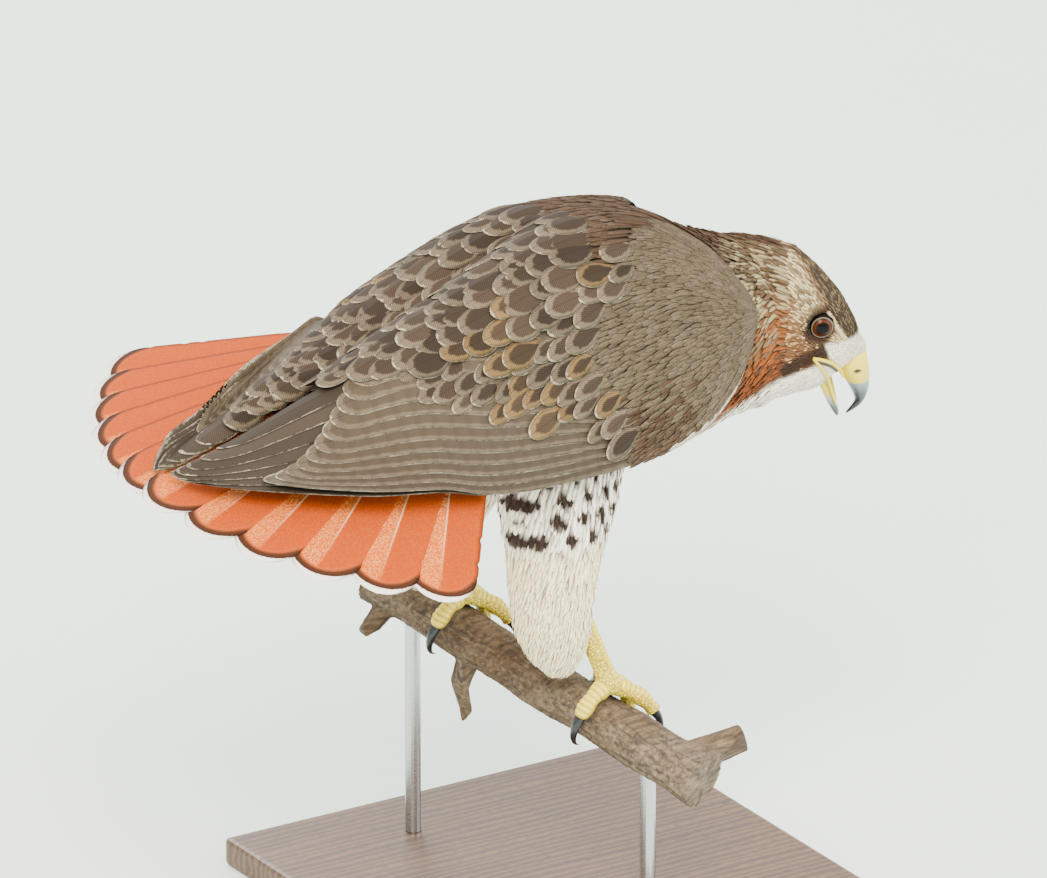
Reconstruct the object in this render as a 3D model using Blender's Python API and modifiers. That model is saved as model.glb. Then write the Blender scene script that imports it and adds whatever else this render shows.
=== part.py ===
"""Red-tailed hawk as a life-size still model, gripping a cut length of branch on a display stand.

Lengths below are in millimetres until mesh_object turns them into metres. The bird faces +X, its
right side is -Y and +Z is up. Positions on the bird are (along, side, height) from the root of the
tail, and place() moves them over the centre of the stand's base, whose underside is the floor.
"""

import math

import bmesh
import bpy
from mathutils import Matrix, Vector

MM = 0.001
GAP = 0.3
CUT_GAP = 0.45
SHARP_ANGLE = math.radians(40.0)

# the stand and the height of the bird over it
BASE_SIZE = (300.0, 270.0, 18.0)
BASE_BEVEL = 3.0
BASE_CENTRE_ALONG = 60.0
TAIL_ROOT_HEIGHT = 384.0
ROD_RADIUS = 5.0
ROD_OFFSETS = (-92.0, 96.0)

# the perch: its middle, direction, radius and the reach of its two cut ends
PERCH_MIDDLE = Vector((46.0, 0.0, -238.0))
PERCH_HEADING = -69.1
PERCH_FALL = 16.3
PERCH_RADIUS = 17.5
PERCH_REACH = (-122.0, 140.0)
PERCH_STEPS = 14

# a broken snag, a side stub and a cut fork of the perch: offset and turn of the root, then the path
# from it (along, side, height) and the radius at each of its points
SNAG_ROOT = (-42.0, 185.0)
SNAG_PATH = ((0.0, 0.0, 0.0), (-7.0, 3.0, -24.0), (-3.0, 2.0, -42.0), (-5.0, 4.0, -50.0))
SNAG_RADII = (11.0, 9.0, 6.0, 1.5)
SNAG_FLATNESS = 0.6
STUB_ROOT = (-104.0, 215.0)
STUB_PATH = ((0.0, 0.0, 0.0), (-16.0, -2.0, -13.0), (-24.0, -3.0, -17.0))
STUB_RADII = (8.0, 6.5, 4.0)
FORK_ROOT = (120.0, 60.0)
FORK_PATH = ((0.0, 0.0, 0.0), (26.0, -8.0, 8.0), (36.0, -11.0, 11.0))
FORK_RADII = (11.0, 9.5, 9.0)
BRANCH_SINK = 6.0

# torso sections: along, half width, height over centre, depth under it, centre height
TORSO_SECTIONS = (
    (-30.0, 21.0, 11.0, 13.0, -15.0),
    (-8.0, 36.0, 25.0, 34.0, -13.0),
    (28.0, 56.0, 46.0, 66.0, -15.0),
    (70.0, 68.0, 62.0, 82.0, -19.0),
    (112.0, 72.0, 70.0, 87.0, -23.0),
    (150.0, 68.0, 64.0, 74.0, -28.0),
    (180.0, 59.0, 56.0, 62.0, -33.0),
    (198.0, 53.0, 55.0, 59.0, -37.0),
)

# neck and head sections: forward, height, yaw, pitch, half width, height over centre, depth under it
HEAD_TURN = -32.0
NECK_BASE_ALONG = 198.0
NECK_SECTIONS = (
    (0.0, -37.0, 0.0, 0.0, 53.0, 55.0, 59.0),
    (14.0, -37.0, -14.0, 3.0, 48.0, 53.0, 56.0),
    (28.0, -38.0, -26.0, 7.0, 41.0, 50.0, 51.0),
)
HEAD_SECTIONS = (
    (28.0, -38.0, -26.0, 7.0, 41.0, 50.0, 51.0),
    (43.0, -44.0, HEAD_TURN, 10.0, 32.0, 41.0, 42.0),
    (55.0, -50.0, HEAD_TURN, 16.0, 25.5, 31.0, 35.0),
    (63.5, -55.5, HEAD_TURN, 25.0, 19.0, 20.5, 27.0),
    (70.0, -61.0, HEAD_TURN, 40.0, 12.5, 11.0, 15.0),
)
EYE_CENTRE = (50.2, -33.6)
EYE_SIDE = 18.5
EYE_RADIUS = 8.2
LID_RADIUS = 8.4
LID_THICKNESS = 1.3
LID_FORWARD = 3.0
LID_INSET = 0.9
BROW_PLACE = (2.5, 8.6, -1.0)
BROW_RADIUS = 3.6
BROW_LENGTH = 15.0
EYE_AHEAD = 0.2

# the bill: culmen point, tomium point (forward, height) and half width of each section
UPPER_BILL_SECTIONS = (
    ((77.6, -53.0), (57.0, -60.5), 12.0),
    ((79.4, -64.0), (61.5, -69.0), 10.6),
    ((80.6, -77.0), (66.0, -77.5), 8.4),
    ((79.0, -87.0), (70.2, -85.5), 5.2),
    ((74.8, -94.0), (71.2, -91.5), 2.6),
    ((66.9, -99.8), (66.2, -98.9), 0.6),
)
LOWER_BILL_SECTIONS = (
    ((53.0, -66.0), (44.0, -73.0), 10.5),
    ((56.2, -78.5), (50.0, -81.5), 8.8),
    ((59.5, -89.5), (54.5, -91.5), 6.2),
    ((61.8, -97.5), (58.4, -98.5), 3.2),
    ((61.6, -101.0), (60.4, -101.3), 1.0),
)
NOSTRIL_CENTRE = (73.0, -68.5)
NOSTRIL_SIDE = 9.7
NOSTRIL_RADIUS = 2.0

# folded wing sections: along, inner edge (side, height), hump height, side, lower edge (side, height)
RIGHT_WING_SECTIONS = (
    (170.0, 58.0, -2.0, 6.0, 68.0, 64.0, -16.0),
    (162.0, 53.0, 12.0, 22.0, 76.0, 70.0, -30.0),
    (146.0, 36.0, 36.0, 42.0, 83.0, 76.0, -50.0),
    (115.0, 3.0, 53.0, 68.0, 86.0, 83.0, -68.0),
    (62.0, 1.0, 57.0, 86.0, 87.0, 88.0, -77.0),
    (20.0, 1.0, 38.0, 92.0, 84.0, 95.0, -73.0),
    (-23.0, 1.5, 16.0, 80.0, 80.0, 101.0, -66.0),
    (-55.0, 3.0, 4.0, 66.0, 76.0, 107.0, -58.0),
    (-80.0, 5.0, -4.0, 48.0, 70.0, 108.0, -50.0),
    (-123.0, 8.0, -19.0, 12.0, 58.0, 98.0, -46.0),
    (-170.0, 8.5, -36.0, -22.0, 38.0, 64.0, -44.0),
    (-216.0, 8.5, -45.0, -42.0, 11.0, 12.5, -46.0),
)
LEFT_WING_SECTIONS = (
    (170.0, 58.0, -2.0, 6.0, 68.0, 64.0, -16.0),
    (162.0, 53.0, 12.0, 22.0, 76.0, 70.0, -30.0),
    (146.0, 36.0, 34.0, 38.0, 83.0, 76.0, -50.0),
    (115.0, 3.0, 51.0, 61.0, 86.0, 83.0, -68.0),
    (62.0, 1.0, 52.0, 75.0, 86.0, 88.0, -77.0),
    (20.0, 1.0, 35.0, 77.0, 82.0, 88.0, -68.0),
    (-23.0, 1.5, 15.0, 53.0, 72.0, 82.0, -30.0),
    (-55.0, 3.0, 1.0, 31.0, 56.0, 71.0, -10.0),
    (-80.0, 5.0, -8.0, 10.0, 47.0, 60.0, -12.0),
    (-123.0, 7.0, -21.5, -11.0, 34.0, 42.0, -22.5),
    (-170.0, 6.0, -37.0, -34.0, 17.0, 22.0, -37.5),
    (-216.0, 5.0, -51.0, -50.0, 7.0, 8.5, -51.5),
)
WING_FRONT_ALONG = 170.0
WING_THICKNESS_FRONT = 24.0
WING_THICKNESS_TIP = 2.6
WING_ARM_BACK = -30.0
WING_ARM_FRONT = 75.0
WING_FRONT_TAPER = 30.0
WING_FRONT_SHARE = 0.12
WING_CORE_ROWS = 13
WING_CORE_BACK = -158.0

# rows of scapulars and coverts: first root along and across the wing, width, and how far the tip
# stands over the row behind; each row starts a little further back than the one above it
RIGHT_COVERT_ROWS = (
    (122.0, 0.12, 41.0, 3.8),
    (113.0, 0.29, 40.0, 3.4),
    (104.0, 0.46, 39.0, 3.0),
    (95.0, 0.63, 38.0, 2.6),
    (86.0, 0.79, 35.0, 2.2),
)
LEFT_COVERT_ROWS = (
    (122.0, 0.12, 41.0, 3.8),
    (112.0, 0.33, 41.0, 3.3),
    (101.0, 0.54, 39.0, 2.8),
    (89.0, 0.75, 36.0, 2.3),
)
COVERTS_IN_ROW = 4
COVERT_STEP = 49.0
COVERT_LENGTH = 63.0
COVERT_SLANT = 0.03
VANE_TILT = 0.95
SECONDARIES = 5
SECONDARY_ROOT = -8.0
SECONDARY_TIPS = (-96.0, -146.0)
SECONDARY_ACROSS = (0.16, 0.93)
SECONDARY_WIDTH = 33.0
SECONDARY_TIP_LIFT = 1.3
PRIMARY_TIPS = (-186.0, -201.0, -211.0, -215.0, -211.0, -204.0)
PRIMARY_ROOT = -104.0
PRIMARY_ROOT_ACROSS = (0.30, 0.94)
PRIMARY_TIP_ACROSS = (0.22, 0.92)
PRIMARY_WIDTH = 19.0
PRIMARY_STEP = {1: 1.1, -1: 1.35}
PRIMARY_TOP_LIFT = {1: 0.9, -1: 0.0}
QUILL_DEPTH = 1.3
VANE_THICKNESS = 0.95
VANE_PROFILE = (0.55, 1.0, 0.96, 0.42)
TAIL_PROFILE = (0.16, 0.6, 0.95, 1.0, 0.76)

# the tail: twelve feathers in a fan, spread further and drooping more on the right
TAIL_ROOT = (4.0, 4.6, -3.0)
TAIL_FALL = 14.3
TAIL_LEAN = 7.2
TAIL_LENGTH = 243.0
TAIL_EDGE_LENGTH = {1: 214.0, -1: 223.0}
TAIL_HALF_FAN = {1: 50.2, -1: 36.0}
TAIL_DROOP = {1: 41.8, -1: 3.0}
TAIL_PAIRS = 6
TAIL_FEATHER_WIDTH = 45.0
TAIL_STEP = 1.35
TAIL_ROOT_REACH = 30.0
TAIL_BLOCK_REACH = (16.0, 84.0)
TAIL_BLOCK_OVER = 0.8
TAIL_BLOCK_UNDER = 9.6

# rump and vent sections: along, centre height, half width, height over centre, depth under it
RUMP_SECTIONS = (
    (-30.0, -9.0, 21.0, 8.0, 4.0),
    (-55.0, -12.5, 24.0, 9.0, 5.0),
    (-80.0, -20.5, 21.0, 8.0, 4.5),
    (-104.0, -28.5, 12.0, 3.6, 2.6),
)
VENT_SECTIONS = (
    (0.0, -47.0, 34.0, 26.0, 30.0),
    (-28.0, -45.0, 33.0, 26.0, 26.0),
    (-60.0, -42.0, 28.0, 18.0, 15.0),
    (-88.0, -42.0, 19.0, 10.0, 9.0),
    (-104.0, -42.0, 9.0, 3.5, 4.0),
)

# trousers: height, along, side, half depth, half width, for the right leg and then the left
RIGHT_TROUSER_SECTIONS = (
    (-44.0, 50.0, -36.0, 38.0, 24.0),
    (-84.0, 44.0, -40.0, 46.0, 30.0),
    (-114.0, 40.0, -45.0, 40.0, 30.0),
    (-138.0, 36.0, -48.0, 33.5, 27.0),
    (-165.0, 32.5, -50.0, 29.5, 24.0),
    (-190.0, 32.5, -51.0, 26.0, 21.0),
    (-207.0, 35.0, -51.0, 19.5, 16.0),
    (-221.0, 38.0, -51.0, 8.0, 7.0),
)
LEFT_TROUSER_SECTIONS = (
    (-44.0, 50.0, 36.0, 38.0, 24.0),
    (-84.0, 40.0, 40.0, 46.0, 30.0),
    (-110.0, 32.0, 44.0, 40.0, 30.0),
    (-130.0, 23.0, 47.0, 33.0, 27.0),
    (-150.0, 14.0, 49.0, 28.0, 24.0),
    (-168.0, 7.0, 50.0, 23.5, 20.0),
    (-181.0, 4.0, 50.0, 17.0, 15.0),
    (-191.0, 2.0, 50.0, 8.0, 7.0),
)

# feet: offset along the perch, radii of toes and shank, and each toe's turn, length and claw
FOOT_OFFSETS = {"right": 57.5, "left": -57.5}
TOE_RADIUS = 6.0
TOE_TIP_RADIUS = 4.6
SHANK_RADIUS = 6.2
PAD_RADIUS = 9.0
SHANK_TOPS = {"right": Vector((49.0, -51.0, -176.0)), "left": Vector((14.0, 50.0, -146.0))}
TOES = (
    ("inner", -38.0, 34.0, 25.0),
    ("middle", 4.0, 45.0, 22.0),
    ("outer", 42.0, 36.0, 19.0),
    ("hind", 180.0, 29.0, 27.0),
)
TOE_STEPS = 6
CLAW_RADIUS = 3.4

BODY_SIDES = 18
WING_COLUMNS = 7


def clear_scene():
    """Empty the file of objects before the model is made."""
    for item in list(bpy.data.objects):
        bpy.data.objects.remove(item, do_unlink=True)


def make_collection(name):
    """A collection linked to the scene."""
    collection = bpy.data.collections.new(name)
    bpy.context.scene.collection.children.link(collection)
    return collection


def make_material(name, colour, roughness, metallic=0.0):
    """A Principled BSDF with one colour."""
    material = bpy.data.materials.new(name)
    material.use_nodes = True
    shader = material.node_tree.nodes["Principled BSDF"]
    shader.inputs["Base Color"].default_value = (*colour, 1.0)
    shader.inputs["Roughness"].default_value = roughness
    shader.inputs["Metallic"].default_value = metallic
    return material


def place(along, side, height):
    """A point on the bird, in the frame of the stand."""
    return Vector((along - BASE_CENTRE_ALONG, side, height + TAIL_ROOT_HEIGHT))


def mesh_object(name, points, faces, collection, material=None):
    """A closed mesh object from points in millimetres, with its faces turned outwards."""
    mesh = bpy.data.meshes.new(name)
    mesh.from_pydata([point * MM for point in points], [], faces)
    work = bmesh.new()
    work.from_mesh(mesh)
    bmesh.ops.recalc_face_normals(work, faces=work.faces)
    work.to_mesh(mesh)
    work.free()
    mesh.shade_smooth()
    mesh.set_sharp_from_angle(angle=SHARP_ANGLE)
    item = bpy.data.objects.new(name, mesh)
    if material is not None:
        mesh.materials.append(material)
    collection.objects.link(item)
    return item


def loft(name, rings, collection, material=None):
    """A closed skin through rings of equal count, with a flat cap at each end."""
    count = len(rings[0])
    points = [point for ring in rings for point in ring]
    faces = []
    for row in range(len(rings) - 1):
        for step in range(count):
            after = (step + 1) % count
            low = row * count
            high = low + count
            faces.append((low + step, low + after, high + after, high + step))
    faces.append(tuple(range(count)))
    faces.append(tuple(range(len(points) - count, len(points))))
    return mesh_object(name, points, faces, collection, material)


def sheet_loft(name, rings, collection, material=None):
    """A closed thin plate through rings whose first half is its outer face and second its inner.

    Both faces are split into triangles alike, so that a thin curved plate doesn't cross itself.
    """
    count = len(rings[0])
    points = [point for ring in rings for point in ring]
    faces = []
    for row in range(len(rings) - 1):
        for step in range(count):
            low = row * count
            high = low + count
            after = (step + 1) % count
            if step < count // 2:
                faces.append((low + step, low + after, high + after))
                faces.append((low + step, high + after, high + step))
            else:
                faces.append((low + step, low + after, high + step))
                faces.append((low + after, high + after, high + step))
    for base in (0, len(points) - count):
        for step in range(count // 2 - 1):
            opposite = count - 1 - step
            faces.append((base + step, base + step + 1, base + opposite))
            faces.append((base + step + 1, base + opposite - 1, base + opposite))
    return mesh_object(name, points, faces, collection, material)


def vane(surface, root, tip, width, lifts, tilt, collection, profile=VANE_PROFILE):
    """One feather as a thin plate that follows a surface from its sunk root to its raised tip.

    The surface gives a point for two coordinates and a lift, and root and tip are coordinates.
    """
    rings = []
    rows = len(profile) - 1
    run = (tip[0] - root[0], tip[1] - root[1])
    nudge = 1e-3
    for row, share in enumerate(profile):
        part = row / rows
        first = root[0] + run[0] * part
        second = root[1] + run[1] * part
        lift = lifts[0] + (lifts[1] - lifts[0]) * part**0.75
        here = surface(first, second, 0.0)
        step_first = (surface(first + nudge * 10, second, 0.0) - here) / (nudge * 10)
        step_second = (surface(first, second + nudge, 0.0) - here) / nudge
        ahead = (step_first * run[0] + step_second * run[1]).normalized()
        side = step_first.cross(step_second).cross(ahead).normalized()
        square_first = step_first.dot(step_first)
        square_second = step_second.dot(step_second)
        mixed = step_first.dot(step_second)
        scale = square_first * square_second - mixed * mixed
        wide_first = (side.dot(step_first) * square_second - side.dot(step_second) * mixed) / scale
        wide_second = (side.dot(step_second) * square_first - side.dot(step_first) * mixed) / scale
        over = []
        under = []
        for column in (-1, 0, 1):
            reach = column * share * width / 2
            spot = (first + wide_first * reach, second + wide_second * reach)
            raised = lift + tilt * column * share
            over.append(surface(spot[0], spot[1], raised))
            under.append(surface(spot[0], spot[1], raised - VANE_THICKNESS))
        rings.append(over + under[::-1])
    return sheet_loft("vane", rings, collection)


def oval_ring(centre, right, up, half_width, over, under, sides=BODY_SIDES):
    """An oval of points whose upper and lower halves may differ in height."""
    ring = []
    for step in range(sides):
        turn = 2.0 * math.pi * step / sides
        rise = over if math.sin(turn) > 0.0 else under
        ring.append(centre + right * (half_width * math.cos(turn)) + up * (rise * math.sin(turn)))
    return ring


def smooth_between(rows, value):
    """A row of numbers between the rows of a table, on a curve through them."""
    rows = sorted(rows, key=lambda row: row[0])
    value = min(max(value, rows[0][0]), rows[-1][0])
    index = 0
    while index < len(rows) - 2 and value > rows[index + 1][0]:
        index += 1
    start, end = rows[index], rows[index + 1]
    before = rows[max(index - 1, 0)]
    after = rows[min(index + 2, len(rows) - 1)]
    span = end[0] - start[0]
    part = (value - start[0]) / span
    result = []
    for column in range(1, len(start)):
        slope_in = (end[column] - before[column]) / max(end[0] - before[0], 1e-6) * span
        slope_out = (after[column] - start[column]) / max(after[0] - start[0], 1e-6) * span
        square, cube = part * part, part * part * part
        result.append(
            start[column] * (2 * cube - 3 * square + 1)
            + slope_in * (cube - 2 * square + part)
            + end[column] * (3 * square - 2 * cube)
            + slope_out * (cube - square)
        )
    return result


def apply_modifiers(item):
    """Replace an object's mesh by its evaluated one."""
    bpy.context.view_layer.update()
    graph = bpy.context.evaluated_depsgraph_get()
    mesh = bpy.data.meshes.new_from_object(item.evaluated_get(graph))
    item.modifiers.clear()
    item.data = mesh


def keep_largest(item):
    """Keep only the largest closed surface of a mesh."""
    work = bmesh.new()
    work.from_mesh(item.data)
    unseen = set(work.faces)
    islands = []
    while unseen:
        stack = [unseen.pop()]
        island = []
        while stack:
            face = stack.pop()
            island.append(face)
            for edge in face.edges:
                for other in edge.link_faces:
                    if other in unseen:
                        unseen.remove(other)
                        stack.append(other)
        islands.append(island)
    islands.sort(key=island_volume, reverse=True)
    for island in islands[1:]:
        bmesh.ops.delete(work, geom=island, context="FACES")
    work.to_mesh(item.data)
    work.free()


def island_volume(island):
    """The volume inside one closed surface, from its faces."""
    total = 0.0
    for face in island:
        corners = [vertex.co for vertex in face.verts]
        for index in range(1, len(corners) - 1):
            total += corners[0].dot(corners[index].cross(corners[index + 1])) / 6.0
    return abs(total)


def cut_clear(item, cutters):
    """Cut an object by closed meshes and keep its largest piece."""
    for cutter in cutters:
        cutter.hide_render = True
        cutter.display_type = "WIRE"
        cut = item.modifiers.new("cut", "BOOLEAN")
        cut.operation = "DIFFERENCE"
        cut.solver = "MANIFOLD"
        cut.object = cutter
        apply_modifiers(item)
    keep_largest(item)
    item.data.shade_smooth()
    item.data.set_sharp_from_angle(angle=SHARP_ANGLE)


def fuse(item, pieces):
    """Join closed meshes to an object by one union and keep its largest closed surface."""
    group = bpy.data.collections.new(item.name + "_pieces")
    bpy.context.scene.collection.children.link(group)
    for piece in pieces:
        for owner in list(piece.users_collection):
            owner.objects.unlink(piece)
        group.objects.link(piece)
    join = item.modifiers.new("join", "BOOLEAN")
    join.operation = "UNION"
    join.solver = "MANIFOLD"
    join.operand_type = "COLLECTION"
    join.collection = group
    apply_modifiers(item)
    for piece in list(group.objects):
        bpy.data.objects.remove(piece, do_unlink=True)
    bpy.data.collections.remove(group)
    keep_largest(item)


def torso_rings(extra=0.0, reach=0.0):
    """Rings of the torso, or of a slightly larger one that cuts its neighbours clear."""
    first, last = TORSO_SECTIONS[0][0], TORSO_SECTIONS[-1][0]
    rings = []
    count = 11
    for step in range(count + 1):
        along = first + (last - first) * step / count
        half_width, over, under, centre = smooth_between(TORSO_SECTIONS, along)
        shift = 0.0
        if step == 0:
            shift = -reach
        if step == count:
            shift = reach
        rings.append(
            oval_ring(
                place(along + shift, 0.0, centre),
                Vector((0.0, 1.0, 0.0)),
                Vector((0.0, 0.0, 1.0)),
                half_width + extra,
                over + extra,
                under + extra,
            )
        )
    return rings


def head_frame(forward, height, yaw, pitch):
    """Centre, forward, right-hand and up directions of a neck or head section."""
    turn = math.radians(HEAD_TURN)
    centre = place(
        NECK_BASE_ALONG + forward * math.cos(turn),
        forward * math.sin(turn),
        height,
    )
    heading = Matrix.Rotation(math.radians(yaw), 3, "Z")
    ahead = heading @ Vector((math.cos(math.radians(pitch)), 0.0, -math.sin(math.radians(pitch))))
    left = heading @ Vector((0.0, 1.0, 0.0))
    up = ahead.cross(left)
    return centre, ahead, left, up


def head_rings(sections, extra=0.0, start_shift=0.0, end_shift=0.0):
    """Rings of the neck or the head."""
    rings = []
    last = len(sections) - 1
    for index, (forward, height, yaw, pitch, half_width, over, under) in enumerate(sections):
        centre, ahead, left, up = head_frame(forward, height, yaw, pitch)
        if index == 0:
            centre = centre + ahead * start_shift
        if index == last:
            centre = centre + ahead * end_shift
        rings.append(oval_ring(centre, left, up, half_width + extra, over + extra, under + extra))
    return rings


def head_point(forward, height, side=0.0):
    """A point of the head: forward and height in its middle plane, side positive to its left."""
    centre, ahead, left, up = head_frame(forward, height, HEAD_TURN, 0.0)
    return centre + left * side


def bill_rings(sections, extra=0.0, sides=12):
    """Rings of one mandible between its two edges, wider over the tomium."""
    rings = []
    left = head_frame(0.0, 0.0, HEAD_TURN, 0.0)[2]
    for (top_forward, top_height), (low_forward, low_height), half_width in sections:
        top = head_point(top_forward, top_height)
        low = head_point(low_forward, low_height)
        centre = (top + low) * 0.5
        up = (top - low).normalized()
        half_height = (top - low).length * 0.5
        rings.append(
            oval_ring(centre, left, up, half_width + extra, half_height + extra, half_height + extra, sides)
        )
    return rings


def ball(
    name, centre, radius, collection, material=None, rings=10, segments=16, scale=(1, 1, 1), axis=None
):
    """A ball or an egg, with its poles along an axis."""
    mesh = bpy.data.meshes.new(name)
    work = bmesh.new()
    bmesh.ops.create_uvsphere(work, u_segments=segments, v_segments=rings, radius=radius)
    size = Matrix.Diagonal((*scale, 1.0))
    turn = Matrix.Identity(4)
    if axis is not None:
        turn = axis.to_track_quat("Z", "Y").to_matrix().to_4x4()
    bmesh.ops.transform(work, matrix=Matrix.Translation(centre) @ turn @ size, verts=work.verts)
    bmesh.ops.scale(work, vec=(MM, MM, MM), verts=work.verts)
    work.to_mesh(mesh)
    work.free()
    mesh.shade_smooth()
    item = bpy.data.objects.new(name, mesh)
    if material is not None:
        mesh.materials.append(material)
    collection.objects.link(item)
    return item


def tube(name, path, radii, collection, material=None, sides=8, flatten=1.0, up_hint=None):
    """A closed round bar along a list of points."""
    rings = []
    for index, point in enumerate(path):
        ahead = (path[min(index + 1, len(path) - 1)] - path[max(index - 1, 0)]).normalized()
        hint = up_hint[index] if up_hint else Vector((0.0, 0.0, 1.0))
        side = ahead.cross(hint).normalized()
        up = side.cross(ahead)
        rise = radii[index] * flatten
        rings.append(oval_ring(point, side, up, radii[index], rise, rise, sides))
    return loft(name, rings, collection, material)


def ring_tube(name, centre, axis, radius, thickness, collection, segments=18, sides=6):
    """A ring such as an eyelid's rim."""
    mesh_points = []
    faces = []
    turn = axis.to_track_quat("Z", "Y").to_matrix()
    for step in range(segments):
        around = 2.0 * math.pi * step / segments
        out = turn @ Vector((math.cos(around), math.sin(around), 0.0))
        for corner in range(sides):
            roll = 2.0 * math.pi * corner / sides
            mesh_points.append(
                centre + out * (radius + thickness * math.cos(roll)) + axis * (thickness * math.sin(roll))
            )
    for step in range(segments):
        after = (step + 1) % segments
        for corner in range(sides):
            beside = (corner + 1) % sides
            faces.append(
                (
                    step * sides + corner,
                    step * sides + beside,
                    after * sides + beside,
                    after * sides + corner,
                )
            )
    return mesh_object(name, mesh_points, faces, collection)


def make_torso(model, material):
    """Breast, back and belly in one body."""
    return loft("torso", torso_rings(), model, material)


def make_neck(model, material):
    """The feathered neck, turning from the torso towards the head."""
    return loft("neck", head_rings(NECK_SECTIONS, 0.0, GAP, -GAP / 2), model, material)


def eye_place(side):
    """Centre of an eye and the way that it looks; side is 1 for the left and -1 for the right."""
    centre = head_point(EYE_CENTRE[0], EYE_CENTRE[1], side * EYE_SIDE)
    ahead, left = head_frame(0.0, 0.0, HEAD_TURN, 25.0)[1:3]
    look = (left * side + ahead * EYE_AHEAD).normalized()
    return centre, look


def make_head(model, cutters, material):
    """Skull and cheeks with brow ridges, eyelid rims and sockets."""
    head = loft("head", head_rings(HEAD_SECTIONS, 0.0, GAP / 2, 0.0), model, material)
    pieces = []
    sockets = []
    for side in (-1, 1):
        centre, look = eye_place(side)
        ahead = head_frame(0.0, 0.0, HEAD_TURN, 30.0)[1]
        brow = centre + Vector((0.0, 0.0, BROW_PLACE[1])) + ahead * BROW_PLACE[0] + look * BROW_PLACE[2]
        stretch = (1.0, 1.0, BROW_LENGTH / BROW_RADIUS)
        pieces.append(ball("brow", brow, BROW_RADIUS, cutters, None, 8, 10, stretch, ahead))
        rim = centre + look * LID_FORWARD
        pieces.append(ring_tube("lid", rim, look, LID_RADIUS - LID_INSET, LID_THICKNESS, cutters))
        sockets.append(ball("socket", centre, EYE_RADIUS + GAP, cutters, None, 8, 14, (1, 1, 1), look))
    fuse(head, pieces)
    cut_clear(head, sockets)
    return head


def make_eyes(model, material):
    """Two eyeballs deep in their sockets."""
    for side, name in ((-1, "eye_right"), (1, "eye_left")):
        centre, look = eye_place(side)
        ball(name, centre, EYE_RADIUS, model, material, 8, 14, (1, 1, 1), look)


def make_bill(model, cutters, upper_material, lower_material):
    """Hooked upper mandible with its nostrils, and the dropped lower mandible."""
    upper = loft("bill_upper", bill_rings(UPPER_BILL_SECTIONS), model, upper_material)
    left = head_frame(0.0, 0.0, HEAD_TURN, 0.0)[2]
    head_copy = loft("head_cutter", head_rings(HEAD_SECTIONS, GAP, 0.0, GAP), cutters)
    nostrils = []
    for side in (-1, 1):
        centre = head_point(NOSTRIL_CENTRE[0], NOSTRIL_CENTRE[1], side * NOSTRIL_SIDE)
        nostrils.append(
            ball("nostril", centre, NOSTRIL_RADIUS, cutters, None, 6, 8, (1.0, 1.5, 1.0), left)
        )
    cut_clear(upper, [head_copy] + nostrils)
    lower = loft("bill_lower", bill_rings(LOWER_BILL_SECTIONS), model, lower_material)
    upper_copy = loft("upper_cutter", bill_rings(UPPER_BILL_SECTIONS, GAP), cutters)
    cut_clear(lower, [head_copy, upper_copy])


def wing_point(along, across, side, lift=0.0):
    """A point over the outer face of a folded wing, from its inner edge (0) to its lower edge (1)."""
    sections = LEFT_WING_SECTIONS if side > 0 else RIGHT_WING_SECTIONS
    inner, inner_height, hump, flank, low_side, low = smooth_between(sections, along)
    middle = (inner_height + low) * 0.5
    corners = (
        Vector((inner, inner_height)),
        Vector((inner + 0.62 * (flank - inner), hump)),
        Vector((1.07 * flank, middle)),
        Vector((low_side, low)),
    )
    rest = 1.0 - across
    spot = (
        corners[0] * rest**3
        + corners[1] * (3 * rest**2 * across)
        + corners[2] * (3 * rest * across**2)
        + corners[3] * across**3
    )
    slope = (
        (corners[1] - corners[0]) * (3 * rest**2)
        + (corners[2] - corners[1]) * (6 * rest * across)
        + (corners[3] - corners[2]) * (3 * across**2)
    )
    outward = Vector((-slope.y, slope.x)).normalized()
    spot = spot + outward * lift
    return place(along, side * spot.x, spot.y)


def wing_depth(along, across):
    """How thick a wing is: deep over the arm, thin at its lower edge, its front and its tip."""
    arm = min(max((along - WING_ARM_BACK) / (WING_ARM_FRONT - WING_ARM_BACK), 0.0), 1.0)
    front = min(max((WING_FRONT_ALONG - along) / WING_FRONT_TAPER, WING_FRONT_SHARE), 1.0)
    depth = WING_THICKNESS_FRONT * arm * arm * (3.0 - 2.0 * arm) * front
    return WING_THICKNESS_TIP + depth * (1.0 - across**3)


def wing_core(name, side, collection, material=None):
    """The body of a folded wing as a closed curved plate."""
    columns = WING_COLUMNS
    rings = []
    for row in range(WING_CORE_ROWS + 1):
        along = WING_FRONT_ALONG + (WING_CORE_BACK - WING_FRONT_ALONG) * row / WING_CORE_ROWS
        outer = [wing_point(along, step / columns, side) for step in range(columns + 1)]
        inner = [
            wing_point(along, step / columns, side, -wing_depth(along, step / columns))
            for step in range(columns, -1, -1)
        ]
        rings.append(outer + inner)
    return sheet_loft(name, rings, collection, material)


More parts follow.
